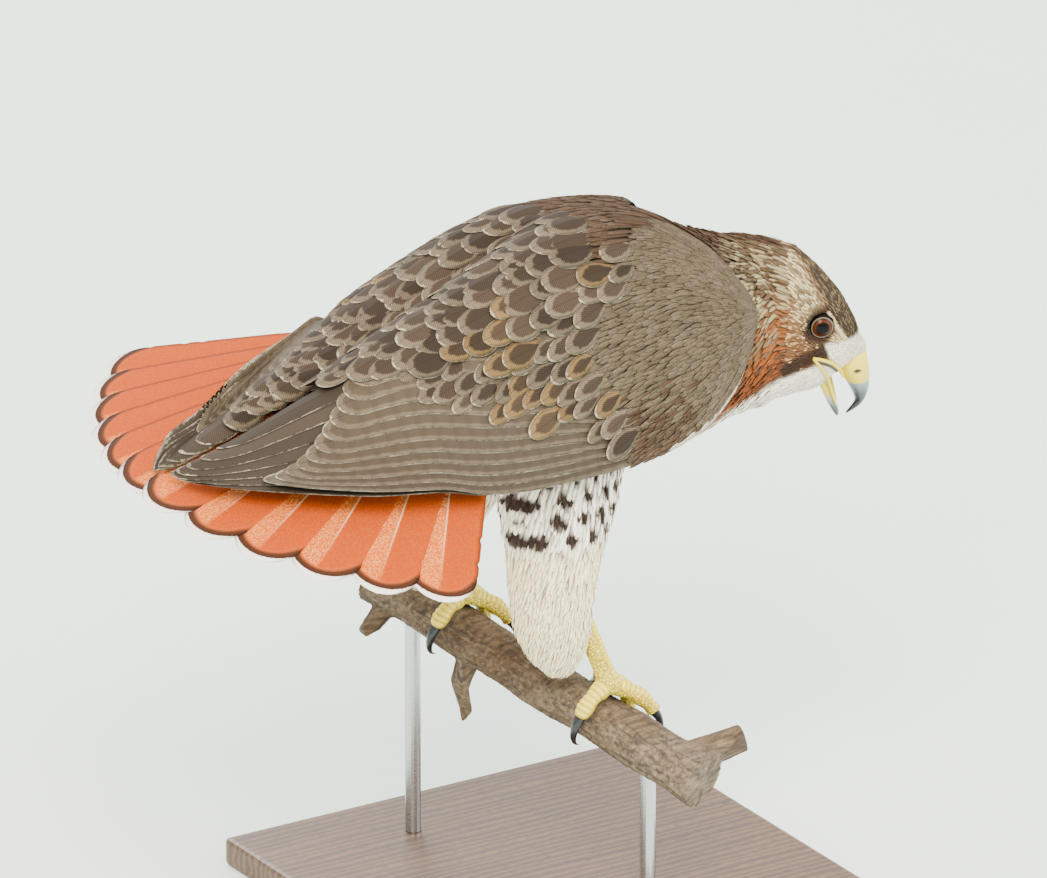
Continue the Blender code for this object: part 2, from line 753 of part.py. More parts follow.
def wing_feathers(side, cutters):
    """Scapulars, coverts, secondaries and primaries of one wing, as closed vanes."""

    def surface(along, across, lift):
        return wing_point(along, across, side, lift)

    feathers = []
    covert_rows = LEFT_COVERT_ROWS if side > 0 else RIGHT_COVERT_ROWS
    for along, across, width, rise in covert_rows:
        for index in range(COVERTS_IN_ROW):
            root = (along - COVERT_STEP * index, across)
            tip = (root[0] - COVERT_LENGTH, across + COVERT_SLANT)
            lifts = (-QUILL_DEPTH, rise)
            feathers.append(vane(surface, root, tip, width, lifts, -VANE_TILT, cutters))
    for index in range(SECONDARIES):
        part = index / (SECONDARIES - 1)
        across = SECONDARY_ACROSS[0] + (SECONDARY_ACROSS[1] - SECONDARY_ACROSS[0]) * part
        reach = SECONDARY_TIPS[0] + (SECONDARY_TIPS[1] - SECONDARY_TIPS[0]) * part
        root = (SECONDARY_ROOT, across - 0.03)
        lifts = (-QUILL_DEPTH, SECONDARY_TIP_LIFT)
        feathers.append(vane(surface, root, (reach, across), SECONDARY_WIDTH, lifts, -VANE_TILT, cutters))
    last = len(PRIMARY_TIPS) - 1
    for index, reach in enumerate(PRIMARY_TIPS):
        part = index / last
        root_across = PRIMARY_ROOT_ACROSS[0] + (PRIMARY_ROOT_ACROSS[1] - PRIMARY_ROOT_ACROSS[0]) * part
        tip_across = PRIMARY_TIP_ACROSS[0] + (PRIMARY_TIP_ACROSS[1] - PRIMARY_TIP_ACROSS[0]) * part
        lifts = (-QUILL_DEPTH, PRIMARY_TOP_LIFT[side] - PRIMARY_STEP[side] * index)
        root = (PRIMARY_ROOT, root_across)
        feathers.append(vane(surface, root, (reach, tip_across), PRIMARY_WIDTH, lifts, 0.0, cutters))
    return feathers


def make_wings(model, cutters, material):
    """Both folded wings, each cut to lie on the torso, the neck and the rump."""
    for side, name in ((-1, "wing_right"), (1, "wing_left")):
        wing = wing_core(name, side, model, material)
        fuse(wing, wing_feathers(side, cutters))
        cutting = [
            loft("torso_cutter", torso_rings(CUT_GAP, GAP), cutters),
            loft("rump_cutter", block_rings(RUMP_SECTIONS, CUT_GAP), cutters),
            loft("neck_cutter", head_rings(NECK_SECTIONS, CUT_GAP), cutters),
        ]
        far_side = loft("midline_cutter", midline_rings(side), cutters)
        cut_clear(wing, cutting + [far_side])


def midline_rings(side):
    """A block that fills the other side of the bird's middle plane."""
    rings = []
    for along in (260.0, -260.0):
        corners = ((GAP / 2, -120.0), (GAP / 2, 120.0), (-120.0, 120.0), (-120.0, -120.0))
        rings.append([place(along, side * across, height) for across, height in corners])
    return rings


def block_rings(sections, extra=0.0, sides=14):
    """Rings of the rump or the vent."""
    rings = []
    last = len(sections) - 1
    for index, (along, centre, half_width, over, under) in enumerate(sections):
        shift = 0.0
        if index == 0:
            shift = extra
        if index == last:
            shift = -extra
        rings.append(
            oval_ring(
                place(along + shift, 0.0, centre),
                Vector((0.0, 1.0, 0.0)),
                Vector((0.0, 0.0, 1.0)),
                half_width + extra,
                over + extra,
                under + extra,
                sides,
            )
        )
    return rings


def tail_point(reach, fan, lift=0.0):
    """A point of the tail fan: reach from its root, fan angle (right is positive), lift over it."""
    fall = Matrix.Rotation(math.radians(-TAIL_FALL), 3, "Y")
    lean = Matrix.Rotation(math.radians(TAIL_LEAN), 3, "X")
    turn = math.radians(fan)
    hand = 1 if fan > 0.0 else -1
    droop = TAIL_DROOP[hand] * (fan / TAIL_HALF_FAN[hand]) ** 2 * reach / TAIL_EDGE_LENGTH[hand]
    flat = Vector((-math.cos(turn) * reach, -math.sin(turn) * reach, lift - droop))
    spot = fall @ (lean @ flat) + Vector(TAIL_ROOT)
    return place(spot.x, spot.y, spot.z)


def tail_reach(fan):
    """Length of the tail at a fan angle."""
    hand = 1 if fan > 0.0 else -1
    share = (fan / TAIL_HALF_FAN[hand]) ** 2
    return TAIL_LENGTH + (TAIL_EDGE_LENGTH[hand] - TAIL_LENGTH) * share


def tail_fan(hand, index):
    """The fan angle of one tail feather, counted outwards from the middle."""
    return hand * TAIL_HALF_FAN[hand] * (index + 0.45) / (TAIL_PAIRS - 0.55)


def make_tail(model, cutters, material):
    """Twelve overlapping tail feathers, the middle pair on top, joined at their roots."""
    steps = 16
    first = tail_fan(-1, TAIL_PAIRS - 1)
    last = tail_fan(1, TAIL_PAIRS - 1)
    rings = []
    for step in range(steps + 1):
        fan = first + (last - first) * step / steps
        over = [tail_point(reach, fan, TAIL_BLOCK_OVER) for reach in TAIL_BLOCK_REACH]
        under = [tail_point(reach, fan, -TAIL_BLOCK_UNDER) for reach in reversed(TAIL_BLOCK_REACH)]
        rings.append(over + under)
    tail = sheet_loft("tail", rings, model, material)
    feathers = []
    for hand in (1, -1):
        for index in range(TAIL_PAIRS):
            fan = tail_fan(hand, index)
            level = -TAIL_STEP * (index + (0.0 if hand > 0 else 0.5))
            root = (TAIL_ROOT_REACH, fan)
            tip = (tail_reach(fan), fan)
            feathers.append(
                vane(tail_point, root, tip, TAIL_FEATHER_WIDTH, (level, level), 0.0, cutters, TAIL_PROFILE)
            )
    fuse(tail, feathers)
    cut_clear(tail, [loft("torso_cutter", torso_rings(CUT_GAP, GAP), cutters)])


def make_rump(model, cutters, rump_material, vent_material):
    """The rump over the root of the tail and the vent under it."""
    rump = loft("rump", block_rings(RUMP_SECTIONS), model, rump_material)
    vent = loft("vent", block_rings(VENT_SECTIONS), model, vent_material)
    room = 60.0
    slabs = ((TAIL_BLOCK_OVER + GAP, room), (room, TAIL_BLOCK_UNDER + GAP))
    torso_copy = loft("torso_cutter", torso_rings(CUT_GAP, GAP), cutters)
    for item, (over, under) in zip((rump, vent), slabs):
        rings = []
        for step in range(13):
            fan = -60.0 + 10.0 * step
            top = [tail_point(reach, fan, over) for reach in (1.0, 80.0, 160.0)]
            low = [tail_point(reach, fan, -under) for reach in (160.0, 80.0, 1.0)]
            rings.append(top + low)
        slab = loft("tail_cutter", rings, cutters)
        cut_clear(item, [torso_copy, slab])


def trouser_rings(sections, extra=0.0):
    """Rings of one feathered leg."""
    rings = []
    for height, along, side, half_depth, half_width in sections:
        rings.append(
            oval_ring(
                place(along, side, height),
                Vector((1.0, 0.0, 0.0)),
                Vector((0.0, 1.0, 0.0)),
                half_depth + extra,
                half_width + extra,
                half_width + extra,
                16,
            )
        )
    return rings


def perch_frame():
    """Direction along the perch towards its low end, the way ahead across it, and up from it."""
    heading = math.radians(PERCH_HEADING)
    fall = math.radians(PERCH_FALL)
    along = Vector(
        (math.cos(heading) * math.cos(fall), math.sin(heading) * math.cos(fall), -math.sin(fall))
    )
    ahead = Vector((-math.sin(heading), math.cos(heading), 0.0))
    up = along.cross(ahead)
    if up.z < 0.0:
        up = -up
    return along, ahead, up


def perch_point(offset, turn, radius):
    """A point round the perch: offset along it, turn forwards from its top, radius from its axis."""
    along, ahead, up = perch_frame()
    spot = PERCH_MIDDLE + along * offset
    spot = spot + ahead * (radius * math.sin(turn)) + up * (radius * math.cos(turn))
    return place(*spot)


def perch_rings(extra=0.0):
    """Rings of the branch: true under the feet, a little uneven towards its ends."""
    rings = []
    sides = 14
    first, last = PERCH_REACH
    for step in range(PERCH_STEPS + 1):
        offset = first + (last - first) * step / PERCH_STEPS
        swell = 1.0 + 0.10 * max(0.0, (offset - 95.0) / 45.0) + 0.05 * math.sin(offset * 0.09)
        radius = (PERCH_RADIUS - 0.9) * swell
        radius = min(radius, PERCH_RADIUS) if abs(offset) < 100.0 else radius
        rings.append(
            [perch_point(offset, 2.0 * math.pi * side / sides, radius + extra) for side in range(sides)]
        )
    return rings


def make_perch(model, cutters, material):
    """The cut branch with a broken snag that hangs from it."""
    perch = loft("perch", perch_rings(), model, material)
    ahead = Vector((1.0, 0.0, 0.0))
    root = perch_point(SNAG_ROOT[0], math.radians(SNAG_ROOT[1]), BRANCH_SINK)
    path = [root + Vector(step) for step in SNAG_PATH]
    snag = tube("snag", path, SNAG_RADII, cutters, None, 8, SNAG_FLATNESS, [ahead] * len(path))
    root = perch_point(STUB_ROOT[0], math.radians(STUB_ROOT[1]), BRANCH_SINK)
    stub = tube("stub", [root + Vector(step) for step in STUB_PATH], STUB_RADII, cutters, None, 8)
    root = perch_point(FORK_ROOT[0], math.radians(FORK_ROOT[1]), BRANCH_SINK)
    fork = tube("fork", [root + Vector(step) for step in FORK_PATH], FORK_RADII, cutters, None, 10)
    fuse(perch, [snag, stub, fork])
    return perch


def toe_path(offset, turn, length, claw):
    """Points of a toe and of its claw, round the perch from the pad of the foot."""
    rise = PERCH_RADIUS + TOE_RADIUS + GAP
    heading = math.radians(turn)
    toe = []
    for step in range(TOE_STEPS + 1):
        gone = length * step / TOE_STEPS
        toe.append(
            (
                offset + gone * math.sin(heading) * (0.0 if turn == 180.0 else 1.0),
                gone * math.cos(heading) / rise,
                rise,
            )
        )
    nail = []
    for step in range(6):
        gone = length - 1.5 + (claw + 1.5) * step / 5
        sink = (gone - length) / claw
        nail.append(
            (
                offset + gone * math.sin(heading) * (0.0 if turn == 180.0 else 0.9),
                gone * math.cos(heading) / rise,
                rise + 1.2 * math.sin(math.pi * max(sink, 0.0)) * 1.5 - 3.5 * max(sink, 0.0) ** 2,
            )
        )
    return toe, nail


def make_leg(side, sections, model, cutters, materials):
    """One leg: trouser, shank, foot with four toes, and four claws."""
    plumage, scales, horn = materials
    offset = FOOT_OFFSETS[side]
    rise = PERCH_RADIUS + TOE_RADIUS + GAP
    ankle = perch_point(offset, 0.0, rise + 2.0)
    up = perch_frame()[2]
    foot = ball("foot_" + side, ankle, PAD_RADIUS, model, scales, 8, 12, (1.0, 1.0, 0.72), up)
    toes = []
    for toe_name, turn, length, claw in TOES:
        toe, nail = toe_path(offset, turn, length, claw)
        path = [perch_point(*spot) for spot in toe]
        hints = [perch_point(spot[0], spot[1], spot[2] + 10.0) - perch_point(*spot) for spot in toe]
        radii = []
        for step in range(TOE_STEPS + 1):
            part = step / TOE_STEPS
            radii.append(TOE_RADIUS + (TOE_TIP_RADIUS - TOE_RADIUS) * part - 0.5 * (step % 2))
        toes.append(tube("toe", path, radii, cutters, None, 8, 0.95, hints))
        claw_path = [perch_point(*spot) for spot in nail]
        claw_hints = [perch_point(spot[0], spot[1], spot[2] + 10.0) - perch_point(*spot) for spot in nail]
        claw_radii = [CLAW_RADIUS * (1.0 - 0.92 * (step / 5) ** 1.2) for step in range(6)]
        nail_item = tube(
            "claw_" + toe_name + "_" + side, claw_path, claw_radii, model, horn, 8, 1.15, claw_hints
        )
        shield = tube(
            "toe_cutter",
            path,
            [radius + GAP for radius in radii[:-1]] + [radii[-1] + GAP],
            cutters,
            None,
            8,
            0.95,
            hints,
        )
        end = (path[-1] - path[-2]).normalized() * GAP
        for vertex in shield.data.vertices[-8:]:
            vertex.co += end * MM
        cut_clear(nail_item, [shield])
    shank_top = place(*SHANK_TOPS[side])
    shank_low = ankle + Vector((0.0, 0.0, 1.0))
    shank_path = [shank_low, shank_low.lerp(shank_top, 0.5), shank_top]
    shank = tube(
        "shank_" + side,
        shank_path,
        (SHANK_RADIUS, SHANK_RADIUS - 0.7, SHANK_RADIUS),
        model,
        scales,
        10,
        1.0,
        [Vector((1.0, 0.0, 0.0))] * 3,
    )
    fuse(foot, toes)
    perch_copy = loft("perch_cutter", perch_rings(GAP), cutters)
    cut_clear(foot, [perch_copy])
    foot_copy = ball(
        "foot_cutter", ankle, PAD_RADIUS + GAP, cutters, None, 8, 12, (1.0, 1.0, 0.75), up
    )
    trouser = loft("trouser_" + side, trouser_rings(sections), model, plumage)
    trouser_copy = loft("trouser_cutter", trouser_rings(sections, CUT_GAP), cutters)
    cut_clear(shank, [trouser_copy, foot_copy])
    cut_clear(trouser, [loft("torso_cutter", torso_rings(CUT_GAP, GAP), cutters)])


def make_stand(model, cutters, wood, steel):
    """A flat wooden base and two steel rods up to the perch."""
    mesh = bpy.data.meshes.new("stand_base")
    work = bmesh.new()
    bmesh.ops.create_cube(work, size=1.0)
    bmesh.ops.scale(work, vec=[size * MM for size in BASE_SIZE], verts=work.verts)
    bmesh.ops.translate(work, vec=(0.0, 0.0, BASE_SIZE[2] * MM / 2), verts=work.verts)
    work.to_mesh(mesh)
    work.free()
    mesh.materials.append(wood)
    base = bpy.data.objects.new("stand_base", mesh)
    model.objects.link(base)
    bevel = base.modifiers.new("edge", "BEVEL")
    bevel.width = BASE_BEVEL * MM
    bevel.segments = 2
    perch_copy = loft("perch_cutter", perch_rings(GAP), cutters)
    for index, offset in enumerate(ROD_OFFSETS, start=1):
        top = perch_point(offset, 0.0, 0.0)
        low = Vector((top.x, top.y, BASE_SIZE[2] + GAP))
        rod = tube(
            "stand_rod_" + str(index),
            [low, top],
            (ROD_RADIUS, ROD_RADIUS),
            model,
            steel,
            16,
            1.0,
            [Vector((1.0, 0.0, 0.0))] * 2,
        )
        cut_clear(rod, [perch_copy])


def main():
    clear_scene()
    model = make_collection("red_tailed_hawk")
    cutters = make_collection("cutters")
    back = make_material("brown_feather", (0.13, 0.095, 0.072), 0.85)
    breast = make_material("cream_feather", (0.62, 0.55, 0.46), 0.9)
    crown = make_material("head_feather", (0.22, 0.13, 0.08), 0.9)
    rufous = make_material("rufous_feather", (0.56, 0.17, 0.06), 0.8)
    horn = make_material("bill_horn", (0.05, 0.06, 0.07), 0.35)
    claw_horn = make_material("claw_horn", (0.02, 0.02, 0.02), 0.3)
    scales = make_material("yellow_scale", (0.65, 0.5, 0.05), 0.55)
    eye = make_material("eye_glass", (0.12, 0.05, 0.02), 0.08)
    bark = make_material("bark", (0.2, 0.16, 0.11), 0.9)
    wood = make_material("walnut", (0.12, 0.06, 0.03), 0.4)
    steel = make_material("brushed_steel", (0.5, 0.5, 0.5), 0.3, 1.0)

    make_torso(model, breast)
    make_neck(model, crown)
    make_head(model, cutters, crown)
    make_eyes(model, eye)
    make_bill(model, cutters, horn, horn)
    make_wings(model, cutters, back)
    make_tail(model, cutters, rufous)
    make_rump(model, cutters, back, breast)
    for side, sections in (("right", RIGHT_TROUSER_SECTIONS), ("left", LEFT_TROUSER_SECTIONS)):
        make_leg(side, sections, model, cutters, (breast, scales, claw_horn))
    make_perch(model, cutters, bark)
    make_stand(model, cutters, wood, steel)
    for item in cutters.objects:
        item.hide_render = True
        item.display_type = "WIRE"


main()
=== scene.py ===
# %% [markdown]
# # A red-tailed hawk on a perch
#
# The model is a museum piece at life size: a hawk that leans forward on a cut length of branch, with
# its tail fanned, held over a wooden base by two steel rods. The solids of the animal are already
# there as a fixed frame. This notebook gives them their looks: plumage, horn, scales, bark and wood.

# %% Load the frame
import math
from itertools import product
import bpy
import numpy as np
from mathutils import Matrix, Vector, noise
from mathutils.bvhtree import BVHTree


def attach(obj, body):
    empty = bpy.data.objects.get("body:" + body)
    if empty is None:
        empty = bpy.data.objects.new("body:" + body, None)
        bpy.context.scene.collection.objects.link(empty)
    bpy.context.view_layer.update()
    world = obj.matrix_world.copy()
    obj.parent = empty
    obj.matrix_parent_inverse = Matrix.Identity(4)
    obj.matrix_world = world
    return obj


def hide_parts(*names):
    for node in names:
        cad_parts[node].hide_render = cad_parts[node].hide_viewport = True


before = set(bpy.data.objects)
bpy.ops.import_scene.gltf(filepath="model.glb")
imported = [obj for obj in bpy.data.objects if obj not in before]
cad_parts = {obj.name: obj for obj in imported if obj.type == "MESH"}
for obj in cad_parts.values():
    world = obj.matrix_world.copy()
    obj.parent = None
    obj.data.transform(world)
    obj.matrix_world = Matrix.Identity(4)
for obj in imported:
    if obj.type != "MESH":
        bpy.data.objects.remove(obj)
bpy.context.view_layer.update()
print("frame loaded with", len(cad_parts), "nodes")

# %% [markdown]
# Lengths are written in millimetres, as a modelmaker would, and turned to metres when a mesh is
# made. Places on the bird are measured from the root of its tail: along the body, to its left side,
# and up. The function place() moves such a point over the middle of the base.

# %% Units and the bird's own coordinates
MM = 0.001
BASE_CENTRE_ALONG = 60.0
TAIL_ROOT_HEIGHT = 384.0
FRAME_SHIFT = np.array([-BASE_CENTRE_ALONG, 0.0, TAIL_ROOT_HEIGHT])
HEAD_TURN = math.radians(-32.0)
NECK_BASE_ALONG = 198.0
rng = np.random.default_rng(7)


def place(point):
    """Millimetres on the bird, as an array of (along, side, height), to metres in the frame."""
    return (np.asarray(point, float) + FRAME_SHIFT) * MM


def on_bird(point):
    """Metres in the frame back to millimetres on the bird."""
    return np.asarray(point, float) / MM - FRAME_SHIFT


def unit(vectors):
    """Arrays of vectors at length one."""
    return vectors / np.maximum(np.linalg.norm(vectors, axis=-1, keepdims=True), 1e-9)


def ease(low, high, value):
    """A smooth step from 0 at low to 1 at high."""
    part = np.clip((value - low) / (high - low), 0.0, 1.0)
    return part * part * (3.0 - 2.0 * part)


# %% [markdown]
# A print made as a picture has no perspective to speak of, so the camera stands far off with a long
# lens. It looks from the bird's right and a little behind, and down on its back.

# %% Camera
CAMERA_AZIMUTH = math.radians(-32.0)
CAMERA_ELEVATION = math.radians(22.0)
CAMERA_TARGET = Vector((-0.0426, -0.0414, 0.3199))
CAMERA_DISTANCE = 12.0
FRAME_WIDTH = 0.6345
SENSOR_WIDTH = 36.0

camera_data = bpy.data.cameras.new("camera")
camera_data.sensor_width = SENSOR_WIDTH
camera_data.lens = SENSOR_WIDTH * CAMERA_DISTANCE / FRAME_WIDTH
camera_data.clip_end = 100.0
camera = bpy.data.objects.new("camera", camera_data)
backward = Vector(
    (
        math.sin(CAMERA_AZIMUTH) * math.cos(CAMERA_ELEVATION),
        -math.cos(CAMERA_AZIMUTH) * math.cos(CAMERA_ELEVATION),
        math.sin(CAMERA_ELEVATION),
    )
)
camera.location = CAMERA_TARGET + backward * CAMERA_DISTANCE
camera.rotation_euler = backward.to_track_quat("Z", "Y").to_euler()
bpy.context.scene.collection.objects.link(camera)
bpy.context.scene.camera = camera
print("camera lens", round(camera_data.lens), "mm")


# %% [markdown]
# Colours are picked as sRGB hex values, the way a paint chart gives them, and turned to the linear
# values that shaders use. One small function adds a shader node, sets it and links it.

# %% Colour and node helpers
def linear(colour):
    """An sRGB hex colour as linear RGBA."""
    parts = [int(colour[index : index + 2], 16) / 255.0 for index in (1, 3, 5)]
    parts = [part / 12.92 if part <= 0.04045 else ((part + 0.055) / 1.055) ** 2.4 for part in parts]
    return (*parts, 1.0)


def tone(colour):
    """An sRGB hex colour as a linear RGB array."""
    return np.array(linear(colour)[:3])


def plug(item, values):
    """Set or link a node's inputs. A node stands for its output, and a hex string for its colour."""
    for key, value in values.items():
        if isinstance(value, bpy.types.Node):
            value = next(socket for socket in value.outputs if socket.enabled)
        if isinstance(value, bpy.types.NodeSocket):
            item.id_data.links.new(value, item.inputs[key])
        else:
            item.inputs[key].default_value = linear(value) if isinstance(value, str) else value


def add(tree, kind, inputs=None, stops=(), **settings):
    """Add a shader node with its settings, its inputs and the stops of its colour ramp."""
    item = tree.nodes.new("ShaderNode" + kind)
    for name, value in settings.items():
        setattr(item, name, value)
    plug(item, inputs or {})
    for _ in stops[2:]:
        item.color_ramp.elements.new(0.5)
    for index, (position, colour) in enumerate(stops):
        item.color_ramp.elements[index].position = position
        item.color_ramp.elements[index].color = linear(colour)
    return item


def carried(tree, name):
    """The three numbers that the points of a piece carry under a name, as sockets."""
    values = add(tree, "Attribute", attribute_name=name)
    return add(tree, "SeparateXYZ", {0: values.outputs["Vector"]}).outputs


def new_material(name):
    """A material with its Principled shader, ready for its pattern."""
    material = bpy.data.materials.new(name)
    material.use_nodes = True
    return material, material.node_tree, material.node_tree.nodes["Principled BSDF"]


def bump(shader, height, strength, distance):
    """Give a shader a bump of a real depth in metres."""
    values = {"Height": height, "Strength": strength, "Distance": distance}
    plug(shader, {"Normal": add(shader.id_data, "Bump", values)})


# %% [markdown]
# The floor is a plain pale sheet, and the light is a large soft box from the upper left of the
# picture with a weaker one from the other side, as in a studio.

# %% Floor and light
bpy.ops.object.select_all(action="DESELECT")
bpy.ops.mesh.primitive_plane_add(size=40.0, location=(0.0, 0.0, 0.0))
floor = bpy.context.object
floor.name = "studio_floor"
floor_material, tree, shader = new_material("matt_backdrop_paper")
paper_grain = add(tree, "TexNoise", {"Scale": 300.0, "Detail": 2.0})
paper_colour = add(tree, "ValToRGB", {"Fac": paper_grain}, stops=[(0.0, "#e8f5ee"), (1.0, "#edf9f2")])
plug(shader, {"Base Color": paper_colour, "Roughness": 0.95})
floor.data.materials.append(floor_material)

LIGHTS = (
    ("key_light", (-1.6, -2.2, 3.0), 2.2, 310.0, "#fff3e2"),
    ("fill_light", (2.6, -2.0, 1.6), 2.6, 104.0, "#f4f6fa"),
    ("rim_light", (0.4, 2.6, 2.2), 2.0, 98.0, "#ffffff"),
)
for name, location, size, power, colour in LIGHTS:
    light = bpy.data.lights.new(name, "AREA")
    light.shape = "DISK"
    light.size = size
    light.energy = power
    light.color = linear(colour)[:3]
    lamp = bpy.data.objects.new(name, light)
    lamp.location = location
    aim = Vector(location) - Vector((0.0, 0.0, 0.3))
    lamp.rotation_euler = aim.to_track_quat("Z", "Y").to_euler()
    bpy.context.scene.collection.objects.link(lamp)

world = bpy.data.worlds.new("soft_room")
world.use_nodes = True
plug(world.node_tree.nodes["Background"], {"Color": "#f2f5f0", "Strength": 2.0})
bpy.context.scene.world = world
print("studio lit by", len(LIGHTS), "soft lamps")


# %% [markdown]
# Feathers are counted in thousands, so they are made as arrays of points and triangles. This helper
# turns such arrays into a mesh, with a colour and other values on each point, and with the layout
# named OFBake that a bake would use.

# %% Meshes from arrays
def give_values(mesh, name, values):
    """Store three or four numbers on each point of a mesh, as a vector or a colour."""
    values = np.asarray(values, np.float32)
    kind, field = ("FLOAT_COLOR", "color") if values.shape[1] == 4 else ("FLOAT_VECTOR", "vector")
    mesh.attributes.new(name, kind, "POINT").data.foreach_set(field, values.ravel())


def array_piece(name, points, triangles, material, slot, layout=None, values=None):
    """A smooth mesh object from arrays in bird millimetres, riding on the bird."""
    mesh = bpy.data.meshes.new(name)
    triangles = np.asarray(triangles, np.int32)
    mesh.vertices.add(len(points))
    mesh.vertices.foreach_set("co", place(points).astype(np.float32).ravel())
    mesh.loops.add(triangles.size)
    mesh.loops.foreach_set("vertex_index", triangles.ravel())
    mesh.polygons.add(len(triangles))
    mesh.polygons.foreach_set("loop_start", np.arange(0, triangles.size, 3, dtype=np.int32))
    mesh.update(calc_edges=True)
    mesh.shade_smooth()
    for key, data in (values or {}).items():
        give_values(mesh, key, data)
    if layout is not None:
        uv = mesh.uv_layers.new(name="OFBake")
        uv.data.foreach_set("uv", np.asarray(layout, np.float32)[triangles.ravel()].ravel())
    mesh.validate()
    item = bpy.data.objects.new(name, mesh)
    bpy.context.scene.collection.objects.link(item)
    mesh.materials.append(material)
    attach(item, "root")
    print(name, "has", len(triangles), "triangles")
    return item


def grid_triangles(rows, columns):
    """Triangles of a net of points whose rows run right round."""
    found = []
    for row in range(rows - 1):
        low, high = row * columns, (row + 1) * columns
        for column in range(columns):
            after = (column + 1) % columns
            found.append((low + column, low + after, high + after))
            found.append((low + column, high + after, high + column))
    return found


def tube_arrays(rings):
    """Points and triangles of a closed tube through rings of equal count."""
    rings = np.asarray(rings, float)
    rows, columns = rings.shape[:2]
    points = np.vstack([rings.reshape(-1, 3), rings[0].mean(0)[None], rings[-1].mean(0)[None]])
    triangles = grid_triangles(rows, columns)
    first, last, low = rows * columns, rows * columns + 1, (rows - 1) * columns
    for column in range(columns):
        after = (column + 1) % columns
        triangles += [(first, after, column), (last, low + column, low + after)]
    return points, np.array(triangles)


def outward(points, triangles):
    """Triangles turned so that the closed shape's faces point out."""
    corners = points[triangles]
    volume = np.einsum("ij,ij->i", corners[:, 0], np.cross(corners[:, 1], corners[:, 2])).sum()
    return triangles if volume > 0.0 else triangles[:, ::-1]


def join_arrays(parts):
    """One pair of arrays from several (points, triangles, extra arrays...)."""
    points = np.vstack([part[0] for part in parts])
    shift = np.cumsum([0] + [len(part[0]) for part in parts[:-1]])
    triangles = np.vstack([part[1] + start for part, start in zip(parts, shift)])
    extras = [np.vstack([part[index] for part in parts]) for index in range(2, len(parts[0]))]
    return (points, triangles, *extras)


# %% [markdown]
# The base is a block of oiled walnut, planed and rubbed with oil: long brown grain with darker
# pores. Walnut's annual rings stand about 3 mm apart. The rods are polished stainless steel.

# %% Walnut and steel
def walnut_material():
    """Oiled walnut: a satin brown wood with long dark grain lines."""
    material, tree, shader = new_material("oiled_walnut")
    spot = add(tree, "TexCoord")
    stretch = add(tree, "Mapping", {"Vector": spot.outputs["Object"], "Scale": (1.0, 9.0, 9.0)})
    warp = add(tree, "TexNoise", {"Vector": stretch, "Scale": 5.0})
    rings = add(
        tree, "TexWave",
        {"Vector": stretch, "Scale": 5.5, "Distortion": 7.0, "Detail": 3.0, "Detail Scale": 1.4},
        bands_direction="Y",
    )
    pores = add(tree, "TexNoise", {"Vector": stretch, "Scale": 160.0, "Detail": 3.0})
    grain = add(tree, "Mix", {0: 0.35, 2: rings.outputs["Fac"], 3: warp}, data_type="FLOAT")
    colour = add(
        tree, "ValToRGB", {"Fac": grain}, stops=[(0.1, "#3d2718"), (0.5, "#5a3b25"), (0.85, "#71502f")]
    )
    dark = add(tree, "ValToRGB", {"Fac": pores}, stops=[(0.36, "#6d6258"), (0.5, "#ffffff")])
    mixed = add(tree, "Mix", {0: 0.8, 6: colour, 7: dark}, data_type="RGBA", blend_type="MULTIPLY")
    plug(shader, {"Base Color": mixed, "Roughness": 0.38})
    bump(shader, pores, 0.25, 0.0003)
    return material


def steel_material():
    """Polished stainless steel rod, with faint rings left by the turning tool."""
    material, tree, shader = new_material("polished_stainless_steel")
    spot = add(tree, "TexCoord")
    stretch = add(tree, "Mapping", {"Vector": spot.outputs["Object"], "Scale": (60.0, 60.0, 2500.0)})
    lines = add(tree, "TexNoise", {"Vector": stretch, "Scale": 1.0})
    rough = add(tree, "MapRange", {0: lines, 3: 0.2, 4: 0.34})
    plug(shader, {"Roughness": rough, "Base Color": "#b9bbbd", "Metallic": 1.0})
    bump(shader, lines, 0.08, 0.0001)
    return material


walnut = walnut_material()
steel = steel_material()
for node_name, finish in (("stand_base", walnut), ("stand_rod_1", steel), ("stand_rod_2", steel)):
    node_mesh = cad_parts[node_name].data
    node_mesh.materials.clear()
    node_mesh.materials.append(finish)
print("stand finished in", walnut.name, "and", steel.name)


# %% [markdown]
# The perch is dead, weathered wood. Its bark has come away in long strips, so its surface is a set
# of ridges and cracks that run with the branch. The solid is copied, remeshed finely and pushed in
# and out by noise that is stretched along the branch.

# %% Perch coordinates
PERCH_MIDDLE = np.array([46.0, 0.0, -238.0])
PERCH_HEADING = math.radians(-69.1)
PERCH_FALL = math.radians(16.3)
PERCH_RADIUS = 17.5
PERCH_VOXEL = 0.0014


def perch_axes():
    """Unit vectors along the perch to its low end, ahead across it, and up from it."""
    level = np.array([math.cos(PERCH_HEADING), math.sin(PERCH_HEADING), 0.0]) * math.cos(PERCH_FALL)
    down = level - np.array([0.0, 0.0, math.sin(PERCH_FALL)])
    ahead = np.array([-math.sin(PERCH_HEADING), math.cos(PERCH_HEADING), 0.0])
    up = np.cross(down, ahead)
    return down, ahead, up if up[2] > 0.0 else -up


def perch_spot(offset, turn, radius):
    """Points round the perch: offset along it, turn forwards from its top, distance from its axis."""
    down, ahead, up = perch_axes()
    offset, turn, radius = np.broadcast_arrays(offset, turn, radius)
    return (
        PERCH_MIDDLE
        + offset[..., None] * down
        + (radius * np.sin(turn))[..., None] * ahead
        + (radius * np.cos(turn))[..., None] * up
    )


def pick(item):
    """Select one object alone and make it the active one."""
    bpy.ops.object.select_all(action="DESELECT")
    item.select_set(True)
    bpy.context.view_layer.objects.active = item


